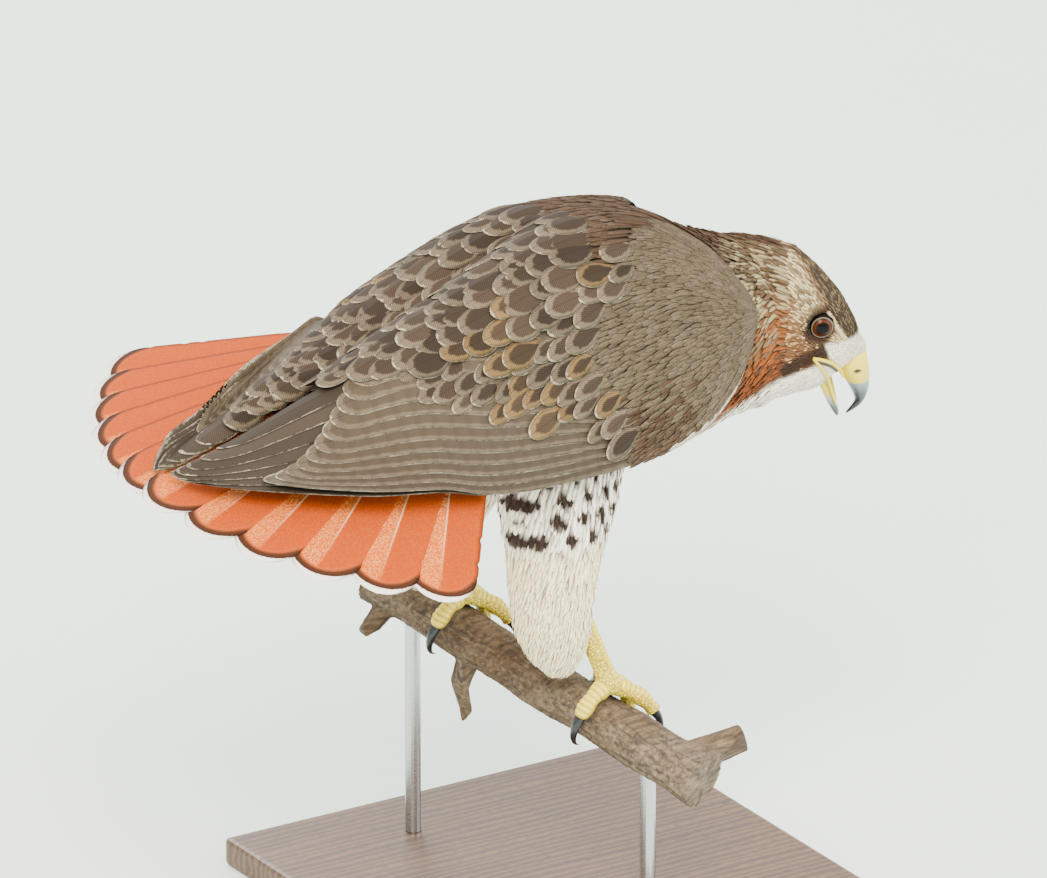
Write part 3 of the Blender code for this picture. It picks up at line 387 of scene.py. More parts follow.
def node_copy(names, name):
    """One welded object from copies of CAD nodes."""
    bpy.ops.object.select_all(action="DESELECT")
    for node_name in names:
        item = bpy.data.objects.new(name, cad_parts[node_name].data.copy())
        bpy.context.scene.collection.objects.link(item)
        item.select_set(True)
        if node_name == names[0]:
            bpy.context.view_layer.objects.active = item
    if len(names) > 1:
        bpy.ops.object.join()
    item = bpy.context.view_layer.objects.active
    item.data.materials.clear()
    bpy.ops.object.mode_set(mode="EDIT")
    bpy.ops.mesh.select_all(action="SELECT")
    bpy.ops.mesh.remove_doubles(threshold=0.00002)
    bpy.ops.object.mode_set(mode="OBJECT")
    return item


def soften(item, rounds):
    """Smooth the points of an object a number of times."""
    pick(item)
    smooth = item.modifiers.new("soften", "SMOOTH")
    smooth.iterations = rounds
    bpy.ops.object.modifier_apply(modifier="soften")


def remesh(item, voxel, rounds):
    """Rebuild an object's surface from voxels and soften it."""
    pick(item)
    shell = item.modifiers.new("voxels", "REMESH")
    shell.mode = "VOXEL"
    shell.voxel_size = voxel
    bpy.ops.object.modifier_apply(modifier="voxels")
    soften(item, rounds)
    item.data.shade_smooth()
    return item


def mesh_points(item):
    """Points and point normals of a mesh object, in bird millimetres."""
    points = np.empty(len(item.data.vertices) * 3, np.float32)
    normals = np.empty_like(points)
    item.data.vertices.foreach_get("co", points)
    item.data.vertices.foreach_get("normal", normals)
    return on_bird(points.reshape(-1, 3)), normals.reshape(-1, 3).astype(float)


def search_tree(item):
    """A tree that finds the nearest places of an object's faces, in bird millimetres."""
    points, _ = mesh_points(item)
    faces = [tuple(face.vertices) for face in item.data.polygons]
    return BVHTree.FromPolygons([tuple(point) for point in points], faces)


def move_points(item, points):
    """Give a mesh object new points in bird millimetres."""
    item.data.vertices.foreach_set("co", place(points).astype(np.float32).ravel())
    item.data.update()


def fractal(points):
    """Fractal noise of three octaves at each point, about -1 to 1."""
    return np.array([noise.fractal(Vector(point), 1.0, 2.0, 3) for point in points])


# %% Weathered perch
perch = remesh(node_copy(["perch"], "perch_branch"), PERCH_VOXEL, 2)
points, normals = mesh_points(perch)
down, ahead, up = perch_axes()
local = points - PERCH_MIDDLE
offset = local @ down
turn = np.arctan2(local @ ahead, local @ up)
ends = ease(0.75, 0.95, np.abs(normals @ down))
strips = np.stack([offset / 70.0, np.cos(turn) * 2.4, np.sin(turn) * 2.4], 1)
fine = np.stack([offset / 12.0, np.cos(turn) * 7.0, np.sin(turn) * 7.0], 1)
cracks = -np.abs(fractal(strips * 1.6 + 5.0)) * 2.2
lumps = fractal(strips * 0.7) * 1.1
grain_lines = fractal(fine) * 0.35
depth = (cracks + lumps + grain_lines) * (1.0 - ends) + fractal(points / 3.0) * 0.25 * ends
clear = np.clip(depth - 0.3, -3.0, 0.25)
move_points(perch, points + normals * clear[:, None])
give_values(perch.data, "Bark", np.stack([offset, turn, cracks], 1))


def bark_material():
    """Weathered dead wood: dry, grey brown, with a few tan scars, and its cracks darkened as painted
    shade.
    """
    material, tree, shader = new_material("weathered_dead_wood")
    bark = carried(tree, "Bark")
    spot = add(tree, "TexCoord")
    turned = add(
        tree, "Mapping",
        {
            "Vector": spot.outputs["Object"], "Rotation": (0.0, PERCH_FALL, -PERCH_HEADING),
            "Scale": (14.0, 160.0, 160.0),
        },
    )
    fibre = add(tree, "TexNoise", {"Vector": turned, "Scale": 2.2, "Detail": 6.0, "Roughness": 0.62})
    patch = add(tree, "TexNoise", {"Vector": spot.outputs["Object"], "Scale": 26.0, "Detail": 4.0})
    wood = add(
        tree, "ValToRGB", {"Fac": fibre}, stops=[(0.3, "#3a3026"), (0.5, "#6a5b49"), (0.72, "#8f806a")]
    )
    tan = add(tree, "ValToRGB", {"Fac": patch}, stops=[(0.4, "#cbb9a2"), (0.62, "#ffffff")])
    tinted = add(tree, "Mix", {0: 0.9, 6: wood, 7: tan}, data_type="RGBA", blend_type="MULTIPLY")
    # painted shade: the deeper a crack, the darker it is painted
    painted_crack_shade = add(tree, "MapRange", {0: bark[2], 1: -0.35, 2: -0.02})
    dark = add(tree, "Mix", {0: painted_crack_shade, 6: tinted, 7: "#3a2f28"}, data_type="RGBA")
    plug(shader, {"Base Color": dark, "Roughness": 0.85})
    bump(shader, fibre, 0.7, 0.0008)
    return material


perch.data.materials.append(bark_material())
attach(perch, "root")
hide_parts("perch")
print("perch has", len(perch.data.polygons), "faces")


# %% [markdown]
# Under the feathers lies one skin. It is made from the solids of the head, neck, torso, rump, vent
# and thighs, fused into a single surface by a voxel remesh so that no seam shows, and then drawn in
# by the depth of the coat. It is painted with the same markings as the feathers that grow from it.

# %% Skin
FLESH = ("head", "neck", "torso", "rump", "vent", "trouser_right", "trouser_left")
FACE_CAP = (66.6, 0.0, -56.0)
FACE_CAP_SIZE = (13.2, 12.6, 10.2)
EYE_CENTRE = (50.2, -33.6)
EYE_SIDE = 18.5
EYE_RADIUS = 8.2
EYE_AHEAD = 0.2
BILL_DIP = math.radians(25.0)
SKIN_VOXEL = 0.0020


def from_head(forward, left, height):
    """Places of the turned head in bird millimetres."""
    forward, left, height = np.broadcast_arrays(forward, left, height)
    along = NECK_BASE_ALONG + forward * math.cos(HEAD_TURN) - left * math.sin(HEAD_TURN)
    side = forward * math.sin(HEAD_TURN) + left * math.cos(HEAD_TURN)
    return np.stack([along, side, height], -1)


def eye_axis(side):
    """Centre of an eye and the way that it looks; side is 1 for the left and -1 for the right."""
    centre = from_head(EYE_CENTRE[0], side * EYE_SIDE, EYE_CENTRE[1])
    ahead = from_head(math.cos(BILL_DIP), 0.0, -math.sin(BILL_DIP))
    left = from_head(0.0, 1.0, 0.0)
    middle = from_head(0.0, 0.0, 0.0)
    return centre, unit((left - middle) * side + (ahead - middle) * EYE_AHEAD)


skin = node_copy(FLESH, "plumage_skin")
bpy.ops.mesh.primitive_uv_sphere_add(
    segments=32, ring_count=20, radius=MM, location=place(from_head(*FACE_CAP)),
    rotation=(0.0, 0.0, HEAD_TURN),
)
bpy.ops.transform.resize(value=FACE_CAP_SIZE, orient_type="LOCAL")
skin.select_set(True)
bpy.context.view_layer.objects.active = skin
bpy.ops.object.join()
skin = remesh(skin, SKIN_VOXEL, 6)
flesh_trees = [search_tree(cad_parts[node_name]) for node_name in FLESH]


def nearest_region(points):
    """The index in FLESH of the solid that each point lies closest to."""
    gaps = [[tree.find_nearest(Vector(point))[3] for point in points] for tree in flesh_trees]
    return np.array(gaps).argmin(0)


def head_place(points):
    """Forward, left and height of points in the frame of the turned head."""
    along = points[:, 0] - NECK_BASE_ALONG
    forward = along * math.cos(HEAD_TURN) + points[:, 1] * math.sin(HEAD_TURN)
    left = -along * math.sin(HEAD_TURN) + points[:, 1] * math.cos(HEAD_TURN)
    return forward, left, points[:, 2]


# %% [markdown]
# The markings are a function of the place on the body, so skin and feathers agree. Each place has a
# ground colour, a colour for the streak along the middle of a feather, and how strong the streak is.

# %% Markings
CROWN = tone("#43362a")
CROWN_STREAK = tone("#8d7a5c")
PALE_STREAK = tone("#e9d8a8")
CHEEK = tone("#7a4f33")
CHEEK_STREAK = tone("#cfa878")
MALAR = tone("#2c1d14")
NECK_RUFOUS = tone("#94521f")
NECK_DARK = tone("#3c281a")
WHITE = tone("#fff8e8")
GREY_WHITE = tone("#cfcbc6")
CREAM = tone("#fbf3e4")
TROUSER_CREAM = tone("#fff2cc")
MANTLE = tone("#57422e")
MANTLE_STREAK = tone("#30241a")
SPOT_BROWN = tone("#3b2b25")
STREAK_BROWN = tone("#7c5237")
RUMP_RUFOUS = tone("#f0b184")
RUMP_MARK = tone("#8a4a2c")
# the white vent under the tail, painted grey-white as painted shade
VENT_GREY_PAINTED_SHADE = tone("#dedad6")
SPOT_GAP, SPOT_ROW_GAP = 14.5, 12.0
# colours are raised to this power, which deepens them against the bright room
DEEPEN = 1.1
BROW_LINE = ((55.6, -27.0), (66.3, -46.0))
MOUSTACHE_LINE = ((54.0, -49.5), (30.0, -56.5))


def blend(first, second, amount):
    """Mix colours by an amount for each point."""
    return first + (second - first) * np.asarray(amount)[:, None]


def line_gap(first, second, start, end):
    """How far points of a plane lie from the line between two of its points."""
    run = np.subtract(end, start)
    part = ((first - start[0]) * run[0] + (second - start[1]) * run[1]) / (run @ run)
    part = np.clip(part, 0.0, 1.0)
    return np.hypot(first - start[0] - run[0] * part, second - start[1] - run[1] * part)


def diamonds(along, height):
    """Spots in staggered rows, from 0 to 1."""
    row = np.round(height / SPOT_ROW_GAP)
    first = along / SPOT_GAP + 0.5 * (row % 2) + 0.16 * np.sin(3.1 * row)
    gap = 2.2 * np.abs(first - np.round(first)) + 1.5 * np.abs(height / SPOT_ROW_GAP - row)
    return ease(0.84, 0.66, gap)


def markings(points, regions):
    """Ground colour, streak colour and streak strength at each point."""
    along, side, height = points.T
    forward, left, up_down = head_place(points)
    wide = np.abs(left)
    # torso: brown over the back, white below with a rufous patch at each side of the breast
    under = ease(-34.0, -58.0, height + 0.12 * (along - 120.0))
    ground = blend(MANTLE, CREAM, under)
    strength = 0.55 * (1.0 - under)
    breast = ease(128.0, 150.0, along) * ease(20.0, 36.0, np.abs(side)) * ease(-92.0, -74.0, height)
    ground = blend(ground, NECK_RUFOUS, 0.9 * breast * under)
    strength = np.maximum(strength, 0.6 * breast)
    streak = blend(MANTLE_STREAK, STREAK_BROWN, under)
    band = under * ease(104.0, 122.0, along) * (1.0 - ease(150.0, 190.0, along)) * (1.0 - breast)
    strength = np.maximum(strength, 0.75 * band)
    flank = under * (1.0 - ease(112.0, 128.0, along)) * ease(30.0, 46.0, along)
    streak = blend(streak, SPOT_BROWN, flank)
    ground = blend(ground, WHITE, flank)
    # neck: rufous sides, brown nape and white throat hatched with grey
    neck = (regions <= 1) | ((regions == 2) & (along > 140.0 - 0.35 * (height + 20.0)))
    throat = ease(-57.0, -64.0, up_down - 0.34 * (forward - 30.0))
    nape = ease(-34.0, 2.0, up_down)
    ring = blend(NECK_RUFOUS, MANTLE, nape)
    ring = blend(ring, WHITE, throat)
    ground = np.where(neck[:, None], ring, ground)
    pale_side = 0.5 * ease(-52.0, -10.0, up_down) * ease(4.0, 14.0, wide) * ease(-20.0, 6.0, forward)
    neck_streak = blend(NECK_DARK, PALE_STREAK, pale_side)
    neck_streak = blend(neck_streak, GREY_WHITE * 0.55, throat)
    streak = np.where(neck[:, None], neck_streak, streak)
    strength = np.where(neck, 0.75 - 0.45 * throat, strength)
    # head: dark crown, pale streaks over a brown cheek, dark moustache, white face and chin
    head = regions == 0
    crown_line = up_down + 1.95 * (forward - 56.0) + 27.5
    crown = ease(-7.0, 6.0, crown_line + 1.8 * np.maximum(9.0 - wide, 0.0))
    temple = ease(-52.0, -16.0, crown_line) * (1.0 - crown)
    face = blend(CHEEK, CHEEK * 0.8 + PALE_STREAK * 0.2, temple)
    face = blend(face, CROWN, np.maximum(crown, 0.4 * temple))
    moustache = ease(8.0, 3.0, line_gap(forward, up_down, *MOUSTACHE_LINE))
    face = blend(face, MALAR, 0.85 * moustache)
    near_eye = ease(13.5, 9.0, np.hypot(forward - EYE_CENTRE[0], up_down - EYE_CENTRE[1]))
    face = blend(face, MALAR, 0.75 * near_eye)
    lore = ease(52.8, 55.2, forward + 0.30 * (up_down + 46.6)) * ease(-44.0, -47.0, up_down)
    face = blend(face, WHITE, lore)
    brow = ease(1.35, 0.7, line_gap(forward, up_down, *BROW_LINE)) * ease(11.0, 14.0, wide)
    face = blend(face, PALE_STREAK, brow)
    chin = ease(-58.5, -62.0, up_down - 0.16 * (forward - 40.0))
    face = blend(face, WHITE, chin * (1.0 - 0.8 * moustache))
    ground = np.where(head[:, None], face, ground)
    face_streak = blend(CHEEK_STREAK, PALE_STREAK, temple)
    face_streak = blend(face_streak, CROWN_STREAK, crown)
    streak = np.where(head[:, None], face_streak, streak)
    quiet = np.clip(lore + chin + moustache + near_eye + brow, 0.0, 1.0)
    strength = np.where(head, (0.55 + 0.35 * temple) * (1.0 - quiet), strength)
    # rump, vent and thighs
    rump = regions == 3
    tail_side = ease(-34.0, -52.0, along)
    rump_colour = blend(MANTLE, RUMP_RUFOUS, tail_side)
    ground = np.where(rump[:, None], rump_colour, ground)
    streak = np.where(rump[:, None], blend(streak, RUMP_MARK, tail_side), streak)
    strength = np.where(rump, 0.8, strength)
    # the vent lies under the tail; its white is painted greyer as painted shade
    vent = regions == 4
    ground = np.where(vent[:, None], VENT_GREY_PAINTED_SHADE, ground)
    strength = np.where(vent, 0.05, strength)
    thigh = regions >= 5
    high = ease(-136.0, -122.0, height)
    thigh_colour = blend(TROUSER_CREAM, WHITE, high)
    ground = np.where(thigh[:, None], thigh_colour, ground)
    strength = np.where(thigh, 0.0, strength)
    spotted = np.where(thigh, high, flank * (regions == 2)) * diamonds(along + 0.7 * side, height)
    ground = blend(ground, SPOT_BROWN, spotted)
    return ground**DEEPEN, streak**DEEPEN, strength


# %% Draw the skin in by the depth of the coat and paint it
COAT_DEPTHS = (1.3, 2.2, 3.2, 2.0, 3.2, 3.4, 3.4)
points, normals = mesh_points(skin)
skin_regions = nearest_region(points)
sunk = points - normals * np.array(COAT_DEPTHS)[skin_regions, None]
for side in (-1, 1):
    centre, look = eye_axis(side)
    reach = (sunk - centre) @ look
    off_axis = np.linalg.norm(sunk - centre - reach[:, None] * look, axis=1)
    room = ease(11.5, 7.6, off_axis) * (reach > 0.0)
    sunk = sunk + look * (room * np.minimum(2.0 - reach, 0.0))[:, None]
move_points(skin, sunk)
soften(skin, 4)
ground, streak, strength = markings(points, skin_regions)
skin_colour = np.ones((len(points), 4))
# the skin is darkened to 0.7 as painted shade, for the depth of the coat seen between the tufts
skin_colour[:, :3] = blend(ground, streak, 0.5 * strength) * 0.7
give_values(skin.data, "Coat", skin_colour)


def plumage_material(name):
    """Soft body feathers: keratin barbs, dull and slightly fuzzy at grazing angles."""
    material, tree, shader = new_material(name)
    coat = add(tree, "Attribute", attribute_name="Coat")
    spot = add(tree, "TexCoord")
    fleck = add(tree, "TexNoise", {"Vector": spot.outputs["Object"], "Scale": 900.0, "Detail": 2.0})
    level = add(tree, "MapRange", {0: fleck, 1: 0.3, 2: 0.7, 3: 0.84, 4: 1.16})
    scaled = add(tree, "VectorMath", {0: coat.outputs["Color"], "Scale": level}, operation="SCALE")
    plug(
        shader,
        {"Base Color": scaled, "Roughness": 0.8, "Specular IOR Level": 0.12,
         "Sheen Weight": 0.04, "Sheen Roughness": 0.5},
    )
    bump(shader, fleck, 0.3, 0.0003)
    return material


down_feather = plumage_material("body_feather_barbs")
skin.data.materials.append(down_feather)
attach(skin, "root")
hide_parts(*FLESH)
print("skin has", len(skin.data.polygons), "faces")


# %% [markdown]
# A feather is a vane on a shaft. The large ones, of wings and tail, are built one by one: a net of
# points follows the surface of the folded wing or the fanned tail from root to tip, widens and is
# rounded at its end, stands a little proud along the shaft, and closes with its own underside. Each
# point carries its distances from shaft, tip and edge, and the colours are drawn from those.

# %% One large feather
VANE_COLUMNS = np.array([-1.0, -0.82, -0.55, -0.25, -0.045, 0.0, 0.045, 0.25, 0.55, 0.82, 1.0])
COVERT_COLUMNS = np.array([-1.0, -0.6, -0.06, 0.0, 0.06, 0.6, 1.0])
STRAND_COLUMNS = np.array([-1.0, 0.0, 1.0])


def stacked(shape, *parts):
    """Arrays stretched to one shape and stacked along a new last axis."""
    return np.stack([np.broadcast_to(part, shape) for part in parts], -1)


def feather(surface, root, tip, width, lifts, rows, columns, look, layout, hand=1):
    """Arrays of one closed feather over a surface with two coordinates and a lift.

    look holds its shape: where its rounding starts, its tilt, camber, shaft height, thickness,
    share of its width at the root and edge splits, and the tone and kind that colour it.
    """
    part = 1.0 - (1.0 - np.linspace(0.0, 1.0, rows)) ** 1.5
    first = root[0] + (tip[0] - root[0]) * part
    second = root[1] + (tip[1] - root[1]) * part
    here = surface(first, second, 0.0)
    nudge_first, nudge_second = 0.5, 0.5 * look["unit"]
    step_first = (surface(first + nudge_first, second, 0.0) - here) / nudge_first
    step_second = (surface(first, second + nudge_second, 0.0) - here) / nudge_second
    outwards = unit(surface(first, second, 1.0) - here)
    ahead = unit(np.gradient(here, axis=0))
    across = unit(np.cross(outwards, ahead)) * hand
    # how far both coordinates change for a millimetre across the feather
    square_first = (step_first**2).sum(1)
    square_second = (step_second**2).sum(1)
    mixed = (step_first * step_second).sum(1)
    scale = square_first * square_second - mixed**2
    along_first = (across * step_first).sum(1)
    along_second = (across * step_second).sum(1)
    wide_first = (along_first * square_second - along_second * mixed) / scale
    wide_second = (along_second * square_first - along_first * mixed) / scale
    # outline: half widths along the vane, and the distance of each point from the edge
    length = np.linalg.norm(np.diff(here, axis=0), axis=1).sum()
    start = look["round"]
    end_part = np.clip((part - start) / (1.0 - start), 0.0, 1.0)
    swell = look["base"] + (1.0 - look["base"]) * ease(0.0, 0.5, part)
    half = width * 0.5 * swell * np.sqrt(np.clip(1.0 - end_part**2.3, 0.0, 1.0))
    half = np.maximum(half, 0.12)
    reach = half[:, None] * columns[None, :]
    if look["notch"] is not None:
        reach = reach * (1.0 - look["notch"][:, None] * (np.abs(columns) > 0.7)[None, :])
    full = width * 0.5 * swell[:, None]
    radial = np.sqrt((reach / full) ** 2 + (end_part**1.2)[:, None] ** 2)
    rim = (1.0 - radial) * np.minimum(full, max(length * (1.0 - start), 1.0))
    # heights of the upper and the lower side
    level = lifts[0] + (lifts[1] - lifts[0]) * part**0.75
    flatness = (half / half.max())[:, None]
    over = level[:, None] + look["tilt"] * columns[None, :] * flatness
    over = over + look["camber"] * (1.0 - columns[None, :] ** 2) * flatness
    over = over + look["shaft"] * (columns == 0.0)[None, :] * (1.0 - 0.8 * part[:, None])
    under = over - look["thick"] * (1.0 - columns[None, :] ** 2)
    first = first[:, None] + wide_first[:, None] * reach
    second = second[:, None] + wide_second[:, None] * reach
    sides = np.stack([surface(first, second, over), surface(first, second, under)])
    # each row of points runs over the upper side and back along the lower one
    last = len(columns) - 1
    order = np.concatenate([np.arange(last + 1), np.arange(last - 1, 0, -1)])
    layer = np.arange(len(order)) > last
    points = sides[layer.astype(int), :, order].transpose(1, 0, 2).reshape(-1, 3)
    count, high = len(order), (rows - 1) * len(order)
    triangles = grid_triangles(rows, count)
    triangles += [(step + 1, step, 0) for step in range(1, count - 1)]
    triangles += [(high, high + step, high + step + 1) for step in range(1, count - 1)]
    triangles = np.array(triangles)
    if hand > 0:
        triangles = triangles[:, ::-1]
    from_root, from_tip = length * part[:, None], (length * (1.0 - part))[:, None]
    vane = stacked(reach.shape, reach, from_tip, rim)
    plume = stacked(reach.shape, from_root, look["tone"], look["kind"])
    patch_across = layout[0] + layout[2] * (0.5 + 0.5 * columns)
    patch = stacked(reach.shape, patch_across, layout[1] + layout[3] * part[:, None])
    values = [item[:, order].reshape(-1, item.shape[-1]) for item in (vane, plume, patch)]
    return points, triangles, *values


def feather_piece(name, feathers, material, slot):
    """One object from many large feathers."""
    points, triangles, vane, tones, patch = join_arrays(feathers)
    return array_piece(name, points, triangles, material, slot, patch, {"Vane": vane, "Plume": tones})


# %% [markdown]
# The folded wing is a curved shell. Each section across it runs from the inner edge on the back,
# over the flank, to the lower edge, as a smooth curve of four control points. The left wing hangs a
# little higher at its lower edge than the right one.

# %% Folded wing surface
RIGHT_WING_SECTIONS = (
    (170.0, 58.0, -2.0, 6.0, 68.0, 64.0, -16.0),
    (162.0, 53.0, 12.0, 22.0, 76.0, 70.0, -30.0),
    (146.0, 36.0, 36.0, 42.0, 83.0, 76.0, -50.0),
    (115.0, 3.0, 53.0, 68.0, 86.0, 83.0, -68.0),
    (62.0, 1.0, 57.0, 86.0, 87.0, 88.0, -77.0),
    (20.0, 1.0, 38.0, 92.0, 84.0, 95.0, -73.0),
    (-23.0, 1.5, 16.0, 80.0, 80.0, 101.0, -66.0),
    (-55.0, 3.0, 4.0, 66.0, 76.0, 107.0, -58.0),
    (-80.0, 5.0, -4.0, 48.0, 70.0, 108.0, -50.0),
    (-123.0, 8.0, -19.0, 12.0, 58.0, 98.0, -46.0),
    (-170.0, 8.5, -36.0, -22.0, 38.0, 64.0, -44.0),
    (-216.0, 8.5, -45.0, -42.0, 11.0, 12.5, -46.0),
)
LEFT_WING_SECTIONS = (
    (170.0, 58.0, -2.0, 6.0, 68.0, 64.0, -16.0),
    (162.0, 53.0, 12.0, 22.0, 76.0, 70.0, -30.0),
    (146.0, 36.0, 34.0, 38.0, 83.0, 76.0, -50.0),
    (115.0, 3.0, 51.0, 61.0, 86.0, 83.0, -68.0),
    (62.0, 1.0, 52.0, 75.0, 86.0, 88.0, -77.0),
    (20.0, 1.0, 35.0, 77.0, 82.0, 88.0, -68.0),
    (-23.0, 1.5, 15.0, 53.0, 72.0, 82.0, -30.0),
    (-55.0, 3.0, 1.0, 31.0, 56.0, 71.0, -10.0),
    (-80.0, 5.0, -8.0, 10.0, 47.0, 60.0, -12.0),
    (-123.0, 7.0, -21.5, -11.0, 34.0, 42.0, -22.5),
    (-170.0, 6.0, -37.0, -34.0, 17.0, 22.0, -37.5),
    (-216.0, 5.0, -51.0, -50.0, 7.0, 8.5, -51.5),
)
WING_SECTIONS = {1: LEFT_WING_SECTIONS, -1: RIGHT_WING_SECTIONS}
WING_FRONT = 170.0
WING_CORE_BACK = -158.0
# how far the rear of the wing's body lies under its feathers, besides the depth at its front
CORE_SINK = {1: 3.6, -1: 2.2}


def between_rows(rows, values):
    """Rows of numbers between the rows of a table, on a curve through them."""
    table = np.array(sorted(rows))
    places, columns = table[:, 0], table[:, 1:]
    values = np.clip(values, places[0], places[-1])
    index = np.clip(np.searchsorted(places, values) - 1, 0, len(places) - 2)
    before, after = np.maximum(index - 1, 0), np.minimum(index + 2, len(places) - 1)
    span = (places[index + 1] - places[index])[..., None]
    part = (values - places[index])[..., None] / span
    slope_in = (columns[index + 1] - columns[before]) / (places[index + 1] - places[before])[..., None]
    slope_out = (columns[after] - columns[index]) / (places[after] - places[index])[..., None]
    square, cube = part**2, part**3
    return (
        columns[index] * (2 * cube - 3 * square + 1)
        + slope_in * span * (cube - 2 * square + part)
        + columns[index + 1] * (3 * square - 2 * cube)
        + slope_out * span * (cube - square)
    )


def wing_surface(side):
    """The outer face of a folded wing as a function; side is 1 for the left and -1 for the right."""

    def surface(along, across, lift):
        along, across, lift = np.broadcast_arrays(along, across, lift)
        rows = between_rows(WING_SECTIONS[side], along)
        inner, inner_up, hump, flank, low_side, low = np.moveaxis(rows, -1, 0)
        across_points = (inner, inner + 0.62 * (flank - inner), 1.07 * flank, low_side)
        up_points = (inner_up, hump, (inner_up + low) * 0.5, low)
        rest = 1.0 - across
        weights = (rest**3, 3 * rest**2 * across, 3 * rest * across**2, across**3)
        slopes = (3 * rest**2, 6 * rest * across, 3 * across**2)
        spot_side = sum(weight * value for weight, value in zip(weights, across_points))
        spot_up = sum(weight * value for weight, value in zip(weights, up_points))
        slope_side = sum(s * (b - a) for s, a, b in zip(slopes, across_points, across_points[1:]))
        slope_up = sum(s * (b - a) for s, a, b in zip(slopes, up_points, up_points[1:]))
        size = np.maximum(np.hypot(slope_side, slope_up), 1e-6)
        spot_side = spot_side - slope_up / size * lift
        spot_up = spot_up + slope_side / size * lift
        return np.stack([along, side * spot_side, spot_up], -1)

    return surface


def wing_core(name, side, material):
    """The body of a folded wing under its feathers."""
    surface = wing_surface(side)
    along = np.linspace(WING_FRONT, WING_CORE_BACK, 60)[:, None]
    across = np.linspace(0.0, 1.0, 40)[None, :]
    arm = ease(-30.0, 75.0, along)
    taper = np.clip((WING_FRONT - along) / 30.0, 0.12, 1.0)
    depth = 2.2 + 22.0 * arm * taper * (1.0 - across**3)
    sunk = 1.3 + CORE_SINK[side] * ease(40.0, -60.0, along)
    over = surface(along, across, -sunk)
    under = surface(along, across, -sunk - depth)
    rings = np.concatenate([over, under[:, ::-1]], 1)
    points, triangles = tube_arrays(rings)
    triangles = outward(points, triangles)
    colour = np.ones((len(points), 4))
    colour[:, :3] = tone("#5c5141")
    return array_piece(name, points, triangles, material, "wing_feathers", None, {"Coat": colour})


# %% Wing feathers
# where the feathers of the back end across the wing, at places along it
SCAPULAR_EDGE = (
    (-100.0, -58.0, -23.0, 7.0, 36.0, 72.0, 97.0, 120.0, 140.0),
    (0.26, 0.48, 0.57, 0.60, 0.54, 0.45, 0.31, 0.19, 0.08),
)
# how far back the small coverts of the wrist reach, at places across the wing
LESSER_BACK = ((0.10, 0.30, 0.45, 0.60, 0.75, 0.90, 1.00), (128.0, 105.0, 80.0, 52.0, 60.0, 72.0, 80.0))
SCAPULAR_REAR = {1: -136.0, -1: -98.0}
SECONDARIES = 14
QUILL_ROWS = 44
PRIMARY_LIFT = {1: 0.9, -1: 0.0}
PRIMARY_DROP = {1: 0.6, -1: 0.75}
PRIMARY_TIPS = (-184.0, -196.0, -205.0, -211.0, -214.0, -212.0, -207.0)
# kinds of wing feather, as numbers that the material reads
PALE, LESSER, STREAKED, ROUND, WARM, LONG, QUILL = -2.0, -1.0, -0.5, 0.0, 0.5, 1.0, 2.0
# pieces of a wing, with how many feathers stand side by side on the bake layout of each
WING_GROUPS = (("lesser_coverts_", 40), ("scapulars_", 24), ("median_coverts_", 12), ("wing_quills_", 11))


def wing_look(**changes):
    """The usual shape of a wing feather, with changes."""
    look = {"round": 0.62, "tilt": 0.0, "camber": 0.9, "shaft": 0.3, "thick": 0.4}
    look |= {"tone": rng.random(), "kind": 0.0, "base": 0.45, "unit": 0.01, "notch": None}
    return look | changes


def atlas_cell(index, columns, rows):
    """A place of its own on the bake layout for one large feather."""
    row, column = divmod(index, columns)
    return ((column + 0.1) / columns, (row + 0.05) / rows, 0.8 / columns, 0.9 / rows)


def tract(step_along, step_across, keep):
    """Places along and across the wing, in staggered rows, that a test keeps."""
    spots = []
    for row, across in enumerate(np.arange(0.015, 1.0, step_across)):
        for along in np.arange(168.0, -140.0, -step_along) - 0.5 * step_along * (row % 2):
            along = along + rng.uniform(-0.2, 0.2) * step_along
            across_here = min(across + rng.uniform(-0.2, 0.2) * step_across, 0.995)
            if keep(along, across_here):
                spots.append((along, across_here))
    return spots


def tiles(spots, length, width, slant, rise, level, kind, rows=14, columns=COVERT_COLUMNS):
    """Round-ended feathers rooted at places of the wing, the front ones over those behind."""
    found = []
    for along, across in spots:
        size = rng.uniform(0.85, 1.15)
        tip = (along - length * size, min(across + slant + rng.uniform(-0.006, 0.006), 1.0))
        look = wing_look(
            tilt=rng.uniform(-0.03, 0.03) * width, kind=kind(along, across),
            round=rng.uniform(0.36, 0.54), camber=0.07 * width, thick=min(0.45, 0.05 * width),
        )
        lifts = (level - 1.6, level + rise + rng.uniform(-0.2, 0.2) * rise)
        wide = width * size * rng.uniform(0.9, 1.1)
        found.append(((along, across), tip, wide, lifts, rows, columns, look))
    return found


